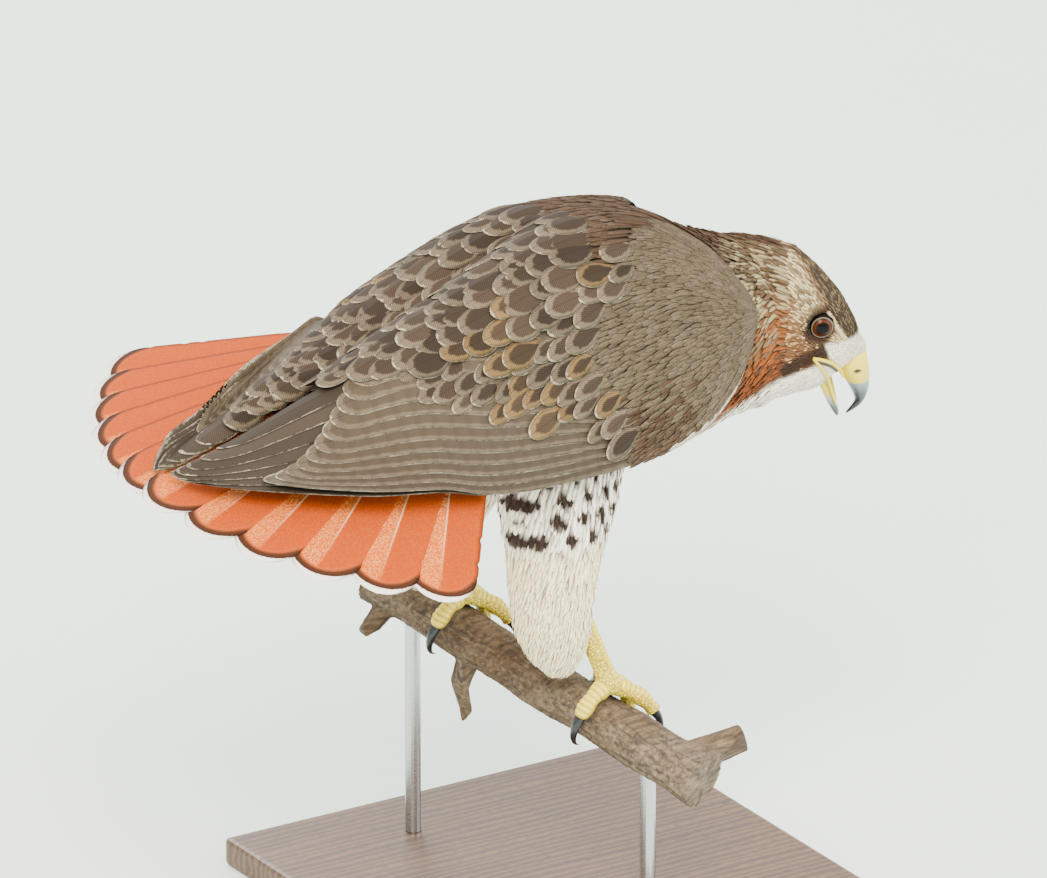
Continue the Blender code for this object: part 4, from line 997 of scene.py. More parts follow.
def wing_feathers(side):
    """The feathers of one wing: wrist, back, coverts, then the secondaries and the primaries."""

    def back_edge(along):
        return np.interp(along, *SCAPULAR_EDGE)

    def lesser_end(across):
        return np.interp(across, *LESSER_BACK)

    def on_wrist(along, across):
        return along > lesser_end(across) and across > back_edge(along) - 0.03

    def on_mantle(along, across):
        return along > 72.0 and across < back_edge(along)

    def on_scapulars(along, across):
        return SCAPULAR_REAR[side] < along <= 76.0 and across < back_edge(along)

    def on_coverts(along, across):
        inner, outer = max(back_edge(along) - 0.03, 0.3), 0.60 + 0.0022 * (along + 60.0)
        return -60.0 < along <= lesser_end(across) + 4.0 and inner < across < outer

    def wrist_kind(along, across):
        if across > 0.975 and along > 112.0:
            return PALE
        rusty = ease(0.72, 0.94, across) * ease(140.0, 112.0, along)
        return STREAKED if rng.random() < rusty else LESSER

    def scapular_kind(along, across):
        share = 0.45 * math.exp(-(((across - 0.50) / 0.12) ** 2)) * ease(-70.0, -30.0, along)
        return WARM if rng.random() < share else ROUND

    def covert_kind(along, across):
        near = 0.62 < across < 0.78 and along > -20.0
        return WARM if near and rng.random() < 0.5 else ROUND

    lesser = tract(7.0, 0.0105, on_wrist)
    mantle = tract(8.0, 0.022, on_mantle)
    scapulars = tract(15.0, 0.078, on_scapulars)
    coverts = tract(13.5, 0.062, on_coverts)
    wrist = tiles(
        lesser, length=17.0, width=3.3, slant=0.012, rise=0.3, level=0.3, kind=wrist_kind,
        rows=6, columns=STRAND_COLUMNS,
    )
    back = tiles(
        mantle, length=26.0, width=4.0, slant=0.01, rise=0.8, level=1.8, kind=lambda *_: STREAKED,
        rows=7, columns=STRAND_COLUMNS,
    )
    back += tiles(
        scapulars, length=31.0, width=18.5, slant=0.012, rise=1.7, level=2.4, kind=scapular_kind,
    )
    tiled = tiles(coverts, length=25.0, width=14.5, slant=0.045, rise=1.3, level=1.0, kind=covert_kind)
    quills = []
    for index in range(SECONDARIES):
        part = index / (SECONDARIES - 1)
        root = (10.0 + 72.0 * part, 0.50 + 0.47 * part**0.6)
        tip = (-84.0 - 92.0 * part, 0.14 + 0.82 * part)
        # the secondaries are painted darker one after another, towards the lower edge of the folded wing
        shade = 0.95 - 0.9 * part
        look = wing_look(tilt=0.8, round=0.90, kind=LONG, camber=0.7, base=0.5, tone=shade)
        lifts = (-1.0, 1.9 - 1.9 * part)
        quills.append((root, tip, 24.0 - 5.0 * part, lifts, QUILL_ROWS, VANE_COLUMNS, look))
    for index, tip_along in enumerate(PRIMARY_TIPS):
        part = index / (len(PRIMARY_TIPS) - 1)
        root, tip = (-34.0, 0.50 + 0.47 * part), (tip_along, 0.16 + 0.78 * part)
        look = wing_look(tilt=0.35, round=0.82, kind=QUILL, camber=0.5, base=0.9)
        lifts = (-1.0 - 0.25 * index, PRIMARY_LIFT[side] - 0.2 - PRIMARY_DROP[side] * index)
        quills.append((root, tip, 18.5, lifts, QUILL_ROWS, VANE_COLUMNS, look))
    return wrist, back, tiled, quills


# %% [markdown]
# Feather keratin is dull and finely hatched by its barbs, which leave the shaft at about 35 degrees
# and lie half a millimetre apart. They are drawn a few times as coarse here, so that they show.
# The wing feathers have a dark grey-brown middle, a paler border, ochre on some, and a thin fringe.

# %% Wing feather material
WING_BARB_GAP, TAIL_BARB_GAP = 1.9, 1.3


def barb_pattern(tree, vane, plume, spacing):
    """Fine slanting lines on both sides of a shaft, from 0 to 1."""
    slope = add(tree, "Math", {0: vane[0]}, operation="ABSOLUTE")
    slant = add(tree, "Math", {0: slope, 1: -1.3, 2: plume[0]}, operation="MULTIPLY_ADD")
    phase = add(tree, "Math", {0: slant, 1: 2.0 * math.pi / spacing}, operation="MULTIPLY")
    wave = add(tree, "Math", {0: phase}, operation="SINE")
    return add(tree, "MapRange", {0: wave, 1: -1.0})


def wing_vane_material(name):
    """Wing feathers: grey-brown keratin with a dark middle, a paler hatched border and a thin fringe."""
    material, tree, shader = new_material(name)
    vane, plume = carried(tree, "Vane"), carried(tree, "Plume")
    spot = add(tree, "TexCoord")
    cloud = add(tree, "TexNoise", {"Vector": spot.outputs["Object"], "Scale": 330.0, "Detail": 3.0})
    barbs = barb_pattern(tree, vane, plume, WING_BARB_GAP)
    small = add(tree, "MapRange", {0: plume[2], 1: -0.75, 2: -0.7})
    plain = add(tree, "MapRange", {0: plume[2], 1: -0.3, 2: -0.2})
    long_feather = add(tree, "MapRange", {0: plume[2], 1: 0.6})
    quill = add(tree, "MapRange", {0: plume[2], 1: 1.5, 2: 2.0})
    # border colour of each kind: olive on the wrist, red brown on the back, grey on the rest
    wrist = add(tree, "Mix", {0: small, 6: "#6e5f4b", 7: "#56402e"}, data_type="RGBA")
    pale_edge = add(tree, "MapRange", {0: plume[2], 1: -1.3, 2: -1.6})
    edged = add(tree, "Mix", {0: pale_edge, 6: wrist, 7: "#e6ddcc"}, data_type="RGBA")
    border = add(tree, "Mix", {0: plain, 6: edged, 7: "#716351"}, data_type="RGBA")
    # ochre round the dark middle of some feathers
    warm_start = add(tree, "MapRange", {0: plume[2], 1: 0.3, 2: 0.45})
    warm_stop = add(tree, "Math", {0: warm_start, 1: long_feather}, operation="SUBTRACT")
    warmed = add(tree, "Mix", {0: warm_stop, 6: border, 7: "#7d6440"}, data_type="RGBA")
    browns = [(0.0, "#2c2119"), (0.5, "#35291f"), (1.0, "#403227")]
    centre = add(tree, "ValToRGB", {"Fac": plume[1]}, stops=browns)
    ragged = add(tree, "Math", {0: cloud, 1: -2.4, 2: vane[2]}, operation="MULTIPLY_ADD")
    middle = add(tree, "MapRange", {0: ragged, 1: 1.1, 2: 2.3, 4: 0.92}, interpolation_type="SMOOTHSTEP")
    # the dark middle is faint on the wrist and on the long feathers
    small_middle = add(tree, "MapRange", {0: plain, 3: 0.2})
    long_middle = add(tree, "MapRange", {0: long_feather, 3: 1.0, 4: 0.62})
    scaled = add(tree, "Math", {0: small_middle, 1: long_middle}, operation="MULTIPLY")
    middle_amount = add(tree, "Math", {0: middle, 1: scaled}, operation="MULTIPLY")
    body = add(tree, "Mix", {0: middle_amount, 6: warmed, 7: centre}, data_type="RGBA")
    # faint darker bars across the secondaries, 11 mm apart
    own_start = add(tree, "Math", {0: plume[1], 1: 40.0, 2: cloud}, operation="MULTIPLY_ADD")
    bar_turn = {0: plume[0], 1: 2.0 * math.pi / 11.0, 2: own_start}
    bar_wave = add(tree, "Math", bar_turn, operation="MULTIPLY_ADD")
    bar = add(tree, "Math", {0: bar_wave}, operation="SINE")
    bar_amount = add(tree, "MapRange", {0: bar, 2: 0.8, 4: 0.22})
    secondary = add(tree, "Math", {0: long_feather, 1: quill}, operation="SUBTRACT")
    bars = add(tree, "Math", {0: bar_amount, 1: secondary}, operation="MULTIPLY")
    barred = add(tree, "Mix", {0: bars, 6: body, 7: "#3a3029"}, data_type="RGBA")
    darker = add(tree, "Mix", {0: quill, 6: barred, 7: "#443a30"}, data_type="RGBA")
    # thin pale fringe, uneven along the edge
    fringe = add(
        tree, "MapRange", {0: ragged, 1: -0.45, 2: -0.95, 4: 0.85}, interpolation_type="SMOOTHSTEP"
    )
    come_and_go = add(tree, "TexNoise", {"Vector": spot.outputs["Object"], "Scale": 75.0, "Detail": 1.0})
    patchy = add(tree, "MapRange", {0: come_and_go, 1: 0.38, 2: 0.62, 3: 0.25})
    plain_share = add(tree, "MapRange", {0: plain, 3: 0.1})
    faint = add(tree, "Math", {0: patchy, 1: plain_share}, operation="MULTIPLY")
    fringe_amount = add(tree, "Math", {0: fringe, 1: faint}, operation="MULTIPLY")
    fringed = add(tree, "Mix", {0: fringe_amount, 6: darker, 7: "#d3c6ae"}, data_type="RGBA")
    # dark shaft and the hatching of the barbs
    shaft_side = add(tree, "Math", {0: vane[0]}, operation="ABSOLUTE")
    shaft = add(tree, "MapRange", {0: shaft_side, 1: 0.4, 2: 0.15, 4: 0.5})
    shafted = add(tree, "Mix", {0: shaft, 6: fringed, 7: "#2b231e"}, data_type="RGBA")
    level = add(tree, "MapRange", {0: barbs, 3: 0.7, 4: 1.2})
    own = add(tree, "MapRange", {0: plume[1], 3: 0.58, 4: 0.88})
    both = add(tree, "Math", {0: level, 1: own}, operation="MULTIPLY")
    hatched = add(tree, "VectorMath", {0: shafted, "Scale": both}, operation="SCALE")
    plug(shader, {"Base Color": hatched, "Roughness": 0.72, "Specular IOR Level": 0.14})
    bump(shader, barbs, 0.25, 0.0002)
    return material


wing_keratin = wing_vane_material("wing_feather_keratin")
core_keratin = plumage_material("wing_body_feathers")
wing_cores = []
for side, name in ((-1, "right"), (1, "left")):
    core = wing_core("wing_core_" + name, side, core_keratin)
    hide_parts("wing_" + name)
    wing_cores.append(core)
    surface = wing_surface(side)
    for (group_name, columns), group in zip(WING_GROUPS, wing_feathers(side)):
        rows = math.ceil(len(group) / columns)
        cells = [atlas_cell(index, columns, rows) for index in range(len(group))]
        built = [feather(surface, *values, cell, -side) for values, cell in zip(group, cells)]
        feather_piece(group_name + name, built, wing_keratin, "wing_feathers")


# %% [markdown]
# The tail is a fan of twelve broad feathers, the middle pair on top and each next one under its
# neighbour. It droops towards its edges, more so on the right. Above, a tail feather is rufous with
# a darker outer vane, a pale shaft, a dark band near its end and a whitish tip.

# %% Tail fan surface
TAIL_ROOT = np.array([4.0, 4.6, -3.0])
TAIL_FALL = math.radians(14.3)
TAIL_LEAN = math.radians(7.2)
TAIL_LENGTH = 243.0
TAIL_EDGE_LENGTH = {1: 214.0, -1: 223.0}
TAIL_HALF_FAN = {1: 50.2, -1: 36.0}
TAIL_DROOP = {1: 41.8, -1: 3.0}
TAIL_PAIRS = 6
TAIL_STEP = 1.35
TAIL_ROWS = 56
TAIL_FEATHER_WIDTH = 48.0
NOTCH_DEPTH = 0.012


def tail_surface(reach, fan, lift):
    """A point of the tail: distance from its root, fan angle in degrees (right is positive), lift."""
    reach, fan, lift = np.broadcast_arrays(reach, fan, lift)
    sizes = (TAIL_HALF_FAN, TAIL_DROOP, TAIL_EDGE_LENGTH)
    half, droop, edge = (np.where(fan > 0.0, size[1], size[-1]) for size in sizes)
    turn = np.radians(fan)
    down = droop * (fan / half) ** 2 * reach / edge
    flat = np.stack([-np.cos(turn) * reach, -np.sin(turn) * reach, lift - down], -1)
    lean = np.array(Matrix.Rotation(TAIL_LEAN, 3, "X"))
    fall = np.array(Matrix.Rotation(-TAIL_FALL, 3, "Y"))
    return flat @ lean.T @ fall.T + TAIL_ROOT


def tail_length(fan):
    """Length of the tail at a fan angle."""
    hand = 1 if fan > 0.0 else -1
    share = (fan / TAIL_HALF_FAN[hand]) ** 2
    return TAIL_LENGTH + (TAIL_EDGE_LENGTH[hand] - TAIL_LENGTH) * share


def edge_notches(rows, depth):
    """Small random splits along the edge of a vane."""
    notch = np.zeros(rows)
    for _ in range(3):
        spot = rng.integers(int(rows * 0.35), rows - 3)
        notch[spot] = depth * rng.uniform(1.5, 4.0)
    return notch


tail_feathers = []
for hand in (1, -1):
    for index in range(TAIL_PAIRS):
        fan = hand * TAIL_HALF_FAN[hand] * (index + 0.45) / (TAIL_PAIRS - 0.55)
        level = -TAIL_STEP * (index + (0.0 if hand > 0 else 0.5))
        look = wing_look(
            round=0.86, camber=1.1, shaft=0.45, tone=rng.random(), kind=float(index), thick=0.5,
            base=0.30, unit=0.3, notch=edge_notches(TAIL_ROWS, NOTCH_DEPTH), tilt=-0.5 * hand,
        )
        cell = atlas_cell(len(tail_feathers), TAIL_PAIRS, 2)
        tip, wide = (tail_length(fan), fan), TAIL_FEATHER_WIDTH + rng.uniform(-1.0, 1.0)
        values = (wide, (level, level + 0.3), TAIL_ROWS, VANE_COLUMNS, look, cell, hand)
        tail_feathers.append(feather(tail_surface, (24.0, fan), tip, *values))


# from the tip inwards: whitish, the dark band, then the rufous of the vane
TAIL_END = (
    (0.0, "#fdf7f1"), (0.29, "#fbeee4"), (0.33, "#3d2216"), (0.56, "#4c2b1b"), (0.76, "#c25c28"),
)


def tail_material():
    """Rufous tail feathers: warm keratin with pale shafts, a dark band and whitish tips."""
    material, tree, shader = new_material("rufous_tail_keratin")
    vane, plume = carried(tree, "Vane"), carried(tree, "Plume")
    spot = add(tree, "TexCoord")
    cloud = add(tree, "TexNoise", {"Vector": spot.outputs["Object"], "Scale": 900.0, "Detail": 2.0})
    barbs = barb_pattern(tree, vane, plume, TAIL_BARB_GAP)
    outer = add(tree, "MapRange", {0: vane[0], 1: -1.5, 2: 1.5})
    rufous = add(tree, "Mix", {0: outer, 6: "#cf5d0c", 7: "#b34402"}, data_type="RGBA")
    speck = add(tree, "MapRange", {0: cloud, 1: 0.46, 2: 0.62, 4: 0.75})
    outer_speck = add(tree, "MapRange", {0: outer, 3: 1.0, 4: 0.12})
    speck_amount = add(tree, "Math", {0: speck, 1: outer_speck}, operation="MULTIPLY")
    speckled = add(tree, "Mix", {0: speck_amount, 6: rufous, 7: "#f2a264"}, data_type="RGBA")
    # a few white and dark bars near the root, on the inner vane
    bar_phase = add(tree, "Math", {0: plume[0], 1: 2.0 * math.pi / 9.0}, operation="MULTIPLY")
    bar_wave = add(tree, "Math", {0: bar_phase}, operation="SINE")
    bar_colour = add(
        tree, "ValToRGB", {"Fac": bar_wave}, stops=[(0.0, "#d98a5c"), (0.35, "#f0dcc6"), (0.8, "#5a3626")]
    )
    near_root = add(tree, "MapRange", {0: plume[0], 1: 124.0, 2: 104.0, 4: 0.65})
    inner = add(tree, "Math", {0: 1.0, 1: outer}, operation="SUBTRACT")
    bar_amount = add(tree, "Math", {0: near_root, 1: inner}, operation="MULTIPLY")
    barred = add(tree, "Mix", {0: bar_amount, 6: speckled, 7: bar_colour}, data_type="RGBA")
    # dark band and whitish tip, by distance from the rounded edge
    from_end = add(tree, "Math", {0: cloud, 1: -1.2, 2: vane[1]}, operation="MULTIPLY_ADD")
    edge_end = add(tree, "Math", {0: vane[1], 1: 0.35, 2: vane[2]}, operation="MULTIPLY_ADD")
    end_value = add(tree, "Math", {0: cloud, 1: -1.2, 2: edge_end}, operation="MULTIPLY_ADD")
    end_part = add(tree, "MapRange", {0: end_value, 2: 16.0})
    band = add(tree, "ValToRGB", {"Fac": end_part}, stops=TAIL_END)
    band_amount = add(tree, "MapRange", {0: end_value, 1: 13.0, 2: 10.5})
    near_tip = add(tree, "MapRange", {0: from_end, 1: 26.0, 2: 20.0})
    tip_amount = add(tree, "Math", {0: band_amount, 1: near_tip}, operation="MULTIPLY")
    tipped = add(tree, "Mix", {0: tip_amount, 6: barred, 7: band}, data_type="RGBA")
    shaft_side = add(tree, "Math", {0: vane[0]}, operation="ABSOLUTE")
    shaft_line = add(tree, "MapRange", {0: shaft_side, 1: 0.7, 2: 0.35, 4: 0.7})
    shaft_end = add(tree, "MapRange", {0: vane[1], 1: 16.0, 2: 60.0})
    shaft = add(tree, "Math", {0: shaft_line, 1: shaft_end}, operation="MULTIPLY")
    shafted = add(tree, "Mix", {0: shaft, 6: tipped, 7: "#f0c7a2"}, data_type="RGBA")
    level = add(tree, "MapRange", {0: barbs, 3: 0.8})
    hatched = add(tree, "VectorMath", {0: shafted, "Scale": level}, operation="SCALE")
    plug(shader, {"Base Color": hatched, "Roughness": 0.75, "Specular IOR Level": 0.1})
    bump(shader, barbs, 0.25, 0.0002)
    return material


tail = feather_piece("tail_feathers", tail_feathers, tail_material(), "tail_feathers")
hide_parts("tail")


# %% [markdown]
# The head gets the most care. A hawk's eye is a dark pupil in a rust-brown iris, wet and glossy,
# inside a thin bare lid. The cere is yellow wax-like skin over the root of the bill with the nostril
# in it. Below it the horn goes from blue grey to black at the hook. Yellow skin edges the mouth.

# %% Smooth strands
def round_about(middle, top, sides):
    """Directions right round a middle line at each of its points, and their turns from its side."""
    ahead = unit(np.gradient(middle, axis=0))
    side = unit(np.cross(ahead, np.broadcast_to(top, middle.shape)))
    turns = np.linspace(0.0, 2.0 * np.pi, sides, endpoint=False)
    across, upwards = np.cos(turns)[None, :, None], np.sin(turns)[None, :, None]
    return side[:, None] * across + np.cross(side, ahead)[:, None] * upwards, turns


def strand(path, radii, rows, sides):
    """Rings of a smooth bar along a path, with radii given at its points."""
    table = [(float(index), *point, radius) for index, (point, radius) in enumerate(zip(path, radii))]
    values = between_rows(table, np.linspace(0.0, len(path) - 1.0, rows))
    middle, radius = values[:, :3], values[:, 3]
    return middle[:, None] + round_about(middle, (0.0, 0.0, 1.0), sides)[0] * radius[:, None, None]


def mirrored(path, side):
    """Head places with a side of their own, as bird millimetres."""
    path = np.asarray(path, float)
    return from_head(path[:, 0], side * path[:, 1], path[:, 2])


# %% Eyes
# from the middle of the pupil outwards: pupil, iris and dark rim
EYE_ZONES = (
    (0.0, "#050404"), (0.44, "#070505"), (0.49, "#24120a"),
    (0.60, "#4f2812"), (0.70, "#3d1f10"), (0.77, "#120a07"),
)
LID_OUT, LID_RING, LID_THICKNESS = 5.1, 6.5, 0.5


def eye_material():
    """A wet eye: black pupil, rust-brown iris with fine fibres, dark rim, clear glossy front."""
    material, tree, shader = new_material("wet_eye")
    iris = add(tree, "Attribute", attribute_name="Iris")
    parts = add(tree, "SeparateXYZ", {0: iris.outputs["Vector"]})
    across = add(tree, "MapRange", {0: parts.outputs[0], 2: EYE_RADIUS})
    zones = add(tree, "ValToRGB", {"Fac": across}, stops=EYE_ZONES)
    stretch = add(tree, "Mapping", {"Vector": iris.outputs["Vector"], "Scale": (0.25, 9.0, 0.0)})
    fibre = add(tree, "TexNoise", {"Vector": stretch, "Scale": 1.0, "Detail": 3.0})
    level = add(tree, "MapRange", {0: fibre, 3: 0.6, 4: 1.4})
    lit = add(tree, "VectorMath", {0: zones, "Scale": level}, operation="SCALE")
    plug(
        shader,
        {"Base Color": lit, "Roughness": 0.18, "Specular IOR Level": 0.06,
         "Coat Weight": 0.1, "Coat Roughness": 0.02},
    )
    return material


def lid_material():
    """Bare eyelid skin: dull grey brown, finely wrinkled."""
    material, tree, shader = new_material("eyelid_skin")
    spot = add(tree, "TexCoord")
    wrinkle = add(tree, "TexNoise", {"Vector": spot.outputs["Object"], "Scale": 1500.0})
    colour = add(tree, "ValToRGB", {"Fac": wrinkle}, stops=[(0.3, "#463b31"), (0.7, "#6c6053")])
    plug(shader, {"Base Color": colour, "Roughness": 0.55})
    bump(shader, wrinkle, 0.3, 0.0002)
    return material


wet_eye, lid_skin = eye_material(), lid_material()
for side, name in ((-1, "right"), (1, "left")):
    centre, look = eye_axis(side)
    facing = Vector(look).to_track_quat("Z", "Y").to_euler()
    bpy.ops.object.select_all(action="DESELECT")
    bpy.ops.mesh.primitive_uv_sphere_add(
        segments=64, ring_count=40, radius=EYE_RADIUS * MM, location=place(centre), rotation=facing
    )
    bpy.ops.object.transform_apply()
    eye = bpy.context.object
    eye.name = "eyeball_" + name
    bpy.ops.object.shade_smooth()
    points, _ = mesh_points(eye)
    local = points - centre
    reach = local @ look
    flat_part = local - reach[:, None] * look
    above = np.cross(look, unit(np.cross(np.array([0.0, 0.0, 1.0]), look)))
    level = np.cross(above, look)
    # the back half is counted as far from the pupil, so that it stays dark
    from_axis = np.linalg.norm(flat_part, axis=1) + 20.0 * (reach < 0.0)
    turn = np.arctan2(local @ above, local @ level)
    give_values(eye.data, "Iris", np.stack([from_axis, turn, reach], 1))
    eye.data.materials.append(wet_eye)
    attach(eye, "root")
    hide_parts("eye_" + name)
    bpy.ops.object.select_all(action="DESELECT")
    bpy.ops.mesh.primitive_torus_add(
        major_segments=56, minor_segments=12, major_radius=LID_RING * MM, minor_radius=LID_THICKNESS * MM,
        location=place(centre + look * LID_OUT), rotation=facing,
    )
    bpy.ops.object.transform_apply()
    lid = bpy.context.object
    lid.name = "eyelid_" + name
    bpy.ops.object.shade_smooth()
    lid.data.materials.append(lid_skin)
    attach(lid, "root")
print("two eyes with lids")

# %% Bill
UPPER_BILL = (
    (77.8, -57.0, 59.5, -62.5, 9.4),
    (79.4, -64.5, 62.0, -69.0, 10.2),
    (80.6, -77.0, 66.0, -77.5, 8.4),
    (79.0, -87.0, 70.2, -85.5, 5.2),
    (74.8, -94.0, 71.2, -91.5, 2.6),
    (66.9, -99.8, 66.2, -98.9, 0.5),
)
LOWER_BILL = (
    (53.0, -66.0, 44.0, -73.0, 10.5),
    (56.2, -78.5, 50.0, -81.5, 8.8),
    (59.5, -89.5, 54.5, -91.5, 6.2),
    (61.8, -97.5, 58.4, -98.5, 3.2),
    (61.6, -101.0, 60.4, -101.3, 0.8),
)
CERE_END = -76.5
NOSTRIL = (73.0, -68.5)


def mandible(name, sections, rows, sides, upper, material, node_name):
    """One mandible, smooth between its sections, with its cere and nostrils if it is the upper one."""
    table = [(float(index), *section) for index, section in enumerate(sections)]
    values = between_rows(table, np.linspace(0.0, len(sections) - 1.0, rows))
    top, low, half_width = values[:, :2], values[:, 2:4], values[:, 4]
    middle, half_height = (top + low) * 0.5, np.linalg.norm(top - low, axis=1) * 0.5
    up = unit(top - low)
    turns = np.linspace(0.0, 2.0 * np.pi, sides, endpoint=False)
    wide = half_width[:, None] * np.cos(turns) * (1.0 - 0.16 * np.maximum(-np.sin(turns), 0.0) ** 2)
    tall = half_height[:, None] * np.sin(turns)
    nostril = np.zeros_like(wide)

    def outline():
        """Forward and height of each point."""
        return np.moveaxis(middle[:, None] + up[:, None] * tall[..., None], -1, 0)

    if upper:
        forward, height = outline()
        cere = ease(CERE_END - 1.0, CERE_END + 0.8, height)
        wide = wide * (1.0 + 0.07 * cere)
        tall = tall * (1.0 + 0.03 * cere)
        from_nostril = np.hypot((forward - NOSTRIL[0]) / 2.5, (height - NOSTRIL[1]) / 1.5)
        nostril = ease(1.2, 0.6, from_nostril)
        wide = wide - np.sign(wide) * 1.7 * nostril
    forward, height = outline()
    points, triangles = tube_arrays(from_head(forward, wide, height))
    edge = -np.sin(turns) if upper else np.sin(turns)
    horn = stacked(wide.shape, height, edge, nostril).reshape(-1, 3)
    horn = np.vstack([horn, horn[:1], horn[-1:]])
    triangles = outward(points, triangles)
    item = array_piece(name, points, triangles, material, "bill_horn", None, {"Horn": horn})
    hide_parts(node_name)


def bill_material(name, stops, lowest, highest):
    """Bill: waxy yellow skin at its root, then blue-grey horn that ends black and polished."""
    material, tree, shader = new_material(name)
    horn = carried(tree, "Horn")
    spot = add(tree, "TexCoord")
    cloud = add(tree, "TexNoise", {"Vector": spot.outputs["Object"], "Scale": 420.0, "Detail": 4.0})
    shifted = add(tree, "Math", {0: cloud, 1: 2.6, 2: horn[0]}, operation="MULTIPLY_ADD")
    part = add(tree, "MapRange", {0: shifted, 1: lowest, 2: highest})
    colour = add(tree, "ValToRGB", {"Fac": part}, stops=stops)
    # the nostril's hole is painted near-black as painted shade
    dark = add(tree, "Mix", {0: horn[2], 6: colour, 7: "#20180c"}, data_type="RGBA")
    plug(shader, {"Base Color": dark})
    rough = add(tree, "MapRange", {0: part, 3: 0.16, 4: 0.42})
    plug(shader, {"Roughness": rough, "Coat Weight": 0.25})
    bump(shader, cloud, 0.15, 0.0002)
    return material


def gape_material():
    """Bare yellow skin at the edge of the mouth."""
    material, tree, shader = new_material("yellow_gape_skin")
    spot = add(tree, "TexCoord")
    cloud = add(tree, "TexNoise", {"Vector": spot.outputs["Object"], "Scale": 700.0})
    colour = add(tree, "ValToRGB", {"Fac": cloud}, stops=[(0.3, "#d0b41c"), (0.7, "#e4cf3a")])
    plug(shader, {"Base Color": colour, "Roughness": 0.45})
    return material


UPPER_HORN = [
    (0.0, "#0d0d0e"), (0.26, "#1b1d1f"), (0.42, "#454f55"),
    (0.60, "#77848a"), (0.635, "#cfb92a"), (1.0, "#e2cd36"),
]
LOWER_HORN = [
    (0.0, "#1c1e20"), (0.22, "#4d575d"), (0.38, "#8c989c"), (0.50, "#cdb72a"), (1.0, "#dfca34"),
]
upper_horn = bill_material("upper_bill_keratin", UPPER_HORN, -99.0, -61.0)
lower_horn = bill_material("lower_bill_keratin", LOWER_HORN, -100.0, -66.0)
mandible("upper_bill", UPPER_BILL, 90, 60, upper=True, material=upper_horn, node_name="bill_upper")
mandible("lower_bill", LOWER_BILL, 60, 40, upper=False, material=lower_horn, node_name="bill_lower")

GAPE_UPPER = (
    (45.8, 28.2, -52.4),
    (51.1, 25.8, -54.6),
    (56.1, 22.3, -57.6),
    (61.1, 16.6, -63.2),
    (64.4, 11.4, -71.0),
)
GAPE_LOWER = (
    (45.9, 28.0, -52.9),
    (49.9, 25.2, -58.8),
    (53.4, 19.0, -66.6),
    (56.0, 9.2, -76.5),
    (58.6, 6.6, -86.5),
    (60.3, 4.2, -93.0),
)
MOUTH_LINE = ((47.4, 27.2, -54.6), (51.4, 24.9, -56.9), (56.4, 20.8, -60.2), (60.6, 15.0, -66.0))


def mouth_strand(path, side, radii, rows, sides):
    """A closed strand of skin beside the mouth."""
    points, triangles = tube_arrays(strand(mirrored(path, side), radii, rows, sides))
    return points, outward(points, triangles)


gape_parts = []
for side in (-1, 1):
    gape_parts.append(mouth_strand(GAPE_UPPER, side, (0.9, 1.15, 1.2, 1.25, 0.9), 40, 12))
    gape_parts.append(mouth_strand(GAPE_LOWER, side, (0.9, 1.15, 1.15, 1.1, 0.9, 0.4), 40, 12))
array_piece("gape_edges", *join_arrays(gape_parts), gape_material(), "bill_horn")


def mouth_material():
    """The gap between the closed mandibles at the mouth's corners, painted near-black as painted shade.
    """
    material, _, shader = new_material("mouth_gap_painted_shade")
    plug(shader, {"Base Color": "#2a1714", "Roughness": 0.4})
    return material


MOUTH_RADII = (0.7, 1.2, 1.3, 0.9)
# dark strands along the mouth line stand for the painted shade in the gap of the closed mouth
mouth_parts = [mouth_strand(MOUTH_LINE, side, MOUTH_RADII, 30, 10) for side in (-1, 1)]
array_piece("mouth_corners", *join_arrays(mouth_parts), mouth_material(), "bill_horn")


# %% [markdown]
# A foot is bare and scaly. Each toe has a row of plates on top, about 3 mm long, and small round
# scales at its sides. The claws are black horn, curved, smooth and sharp.

# %% Feet
FOOT_OFFSETS = {"right": 57.5, "left": -57.5}
TOE_RADIUS = 6.0
TOE_TIP_RADIUS = 4.6
PAD_RADIUS = 9.0
SHANK_RADIUS = 6.2
CLAW_RADIUS = 3.4
SOLE_GAP = 0.3
SHANK_TOPS = {"right": (49.0, -51.0, -176.0), "left": (14.0, 50.0, -146.0)}
TOES = (
    ("inner", -38.0, 34.0, 25.0),
    ("middle", 4.0, 45.0, 22.0),
    ("outer", 42.0, 36.0, 19.0),
    ("hind", 180.0, 29.0, 27.0),
)
PLATE = 3.1
TOE_STEP = 0.42
CLAW_ROWS, SHANK_ROWS, PAD_ROWS = 44, 70, 24


def toe_line(offset, turn, gone, spread=1.0, drop=0.0):
    """Points of a toe round the perch, at distances gone from the middle of the foot."""
    rise = PERCH_RADIUS + TOE_RADIUS + SOLE_GAP
    heading = math.radians(turn)
    sideways = 0.0 if turn == 180.0 else math.sin(heading) * spread
    return perch_spot(offset + gone * sideways, gone * math.cos(heading) / rise, rise + drop)


def limb(middle, top, radius, sides, plates):
    """Rings of a limb, with plates over its top side, and values for its pattern."""
    outwards, turns = round_about(middle, top, sides)
    gone = np.concatenate([[0.0], np.cumsum(np.linalg.norm(np.diff(middle, axis=0), axis=1))])
    upper = ease(-0.1, 0.5, np.sin(turns))[None, :]
    ridge = np.abs(np.sin(np.pi * gone / PLATE))[:, None] ** 0.55 * upper
    grow = radius[:, None] + plates * (0.5 * ridge - 0.25)
    points, triangles = tube_arrays(middle[:, None] + grow[..., None] * outwards)
    values = stacked(grow.shape, gone[:, None], upper, ridge).reshape(-1, 3)
    values = np.vstack([values, values[:1], values[-1:]])
    return points, outward(points, triangles), values


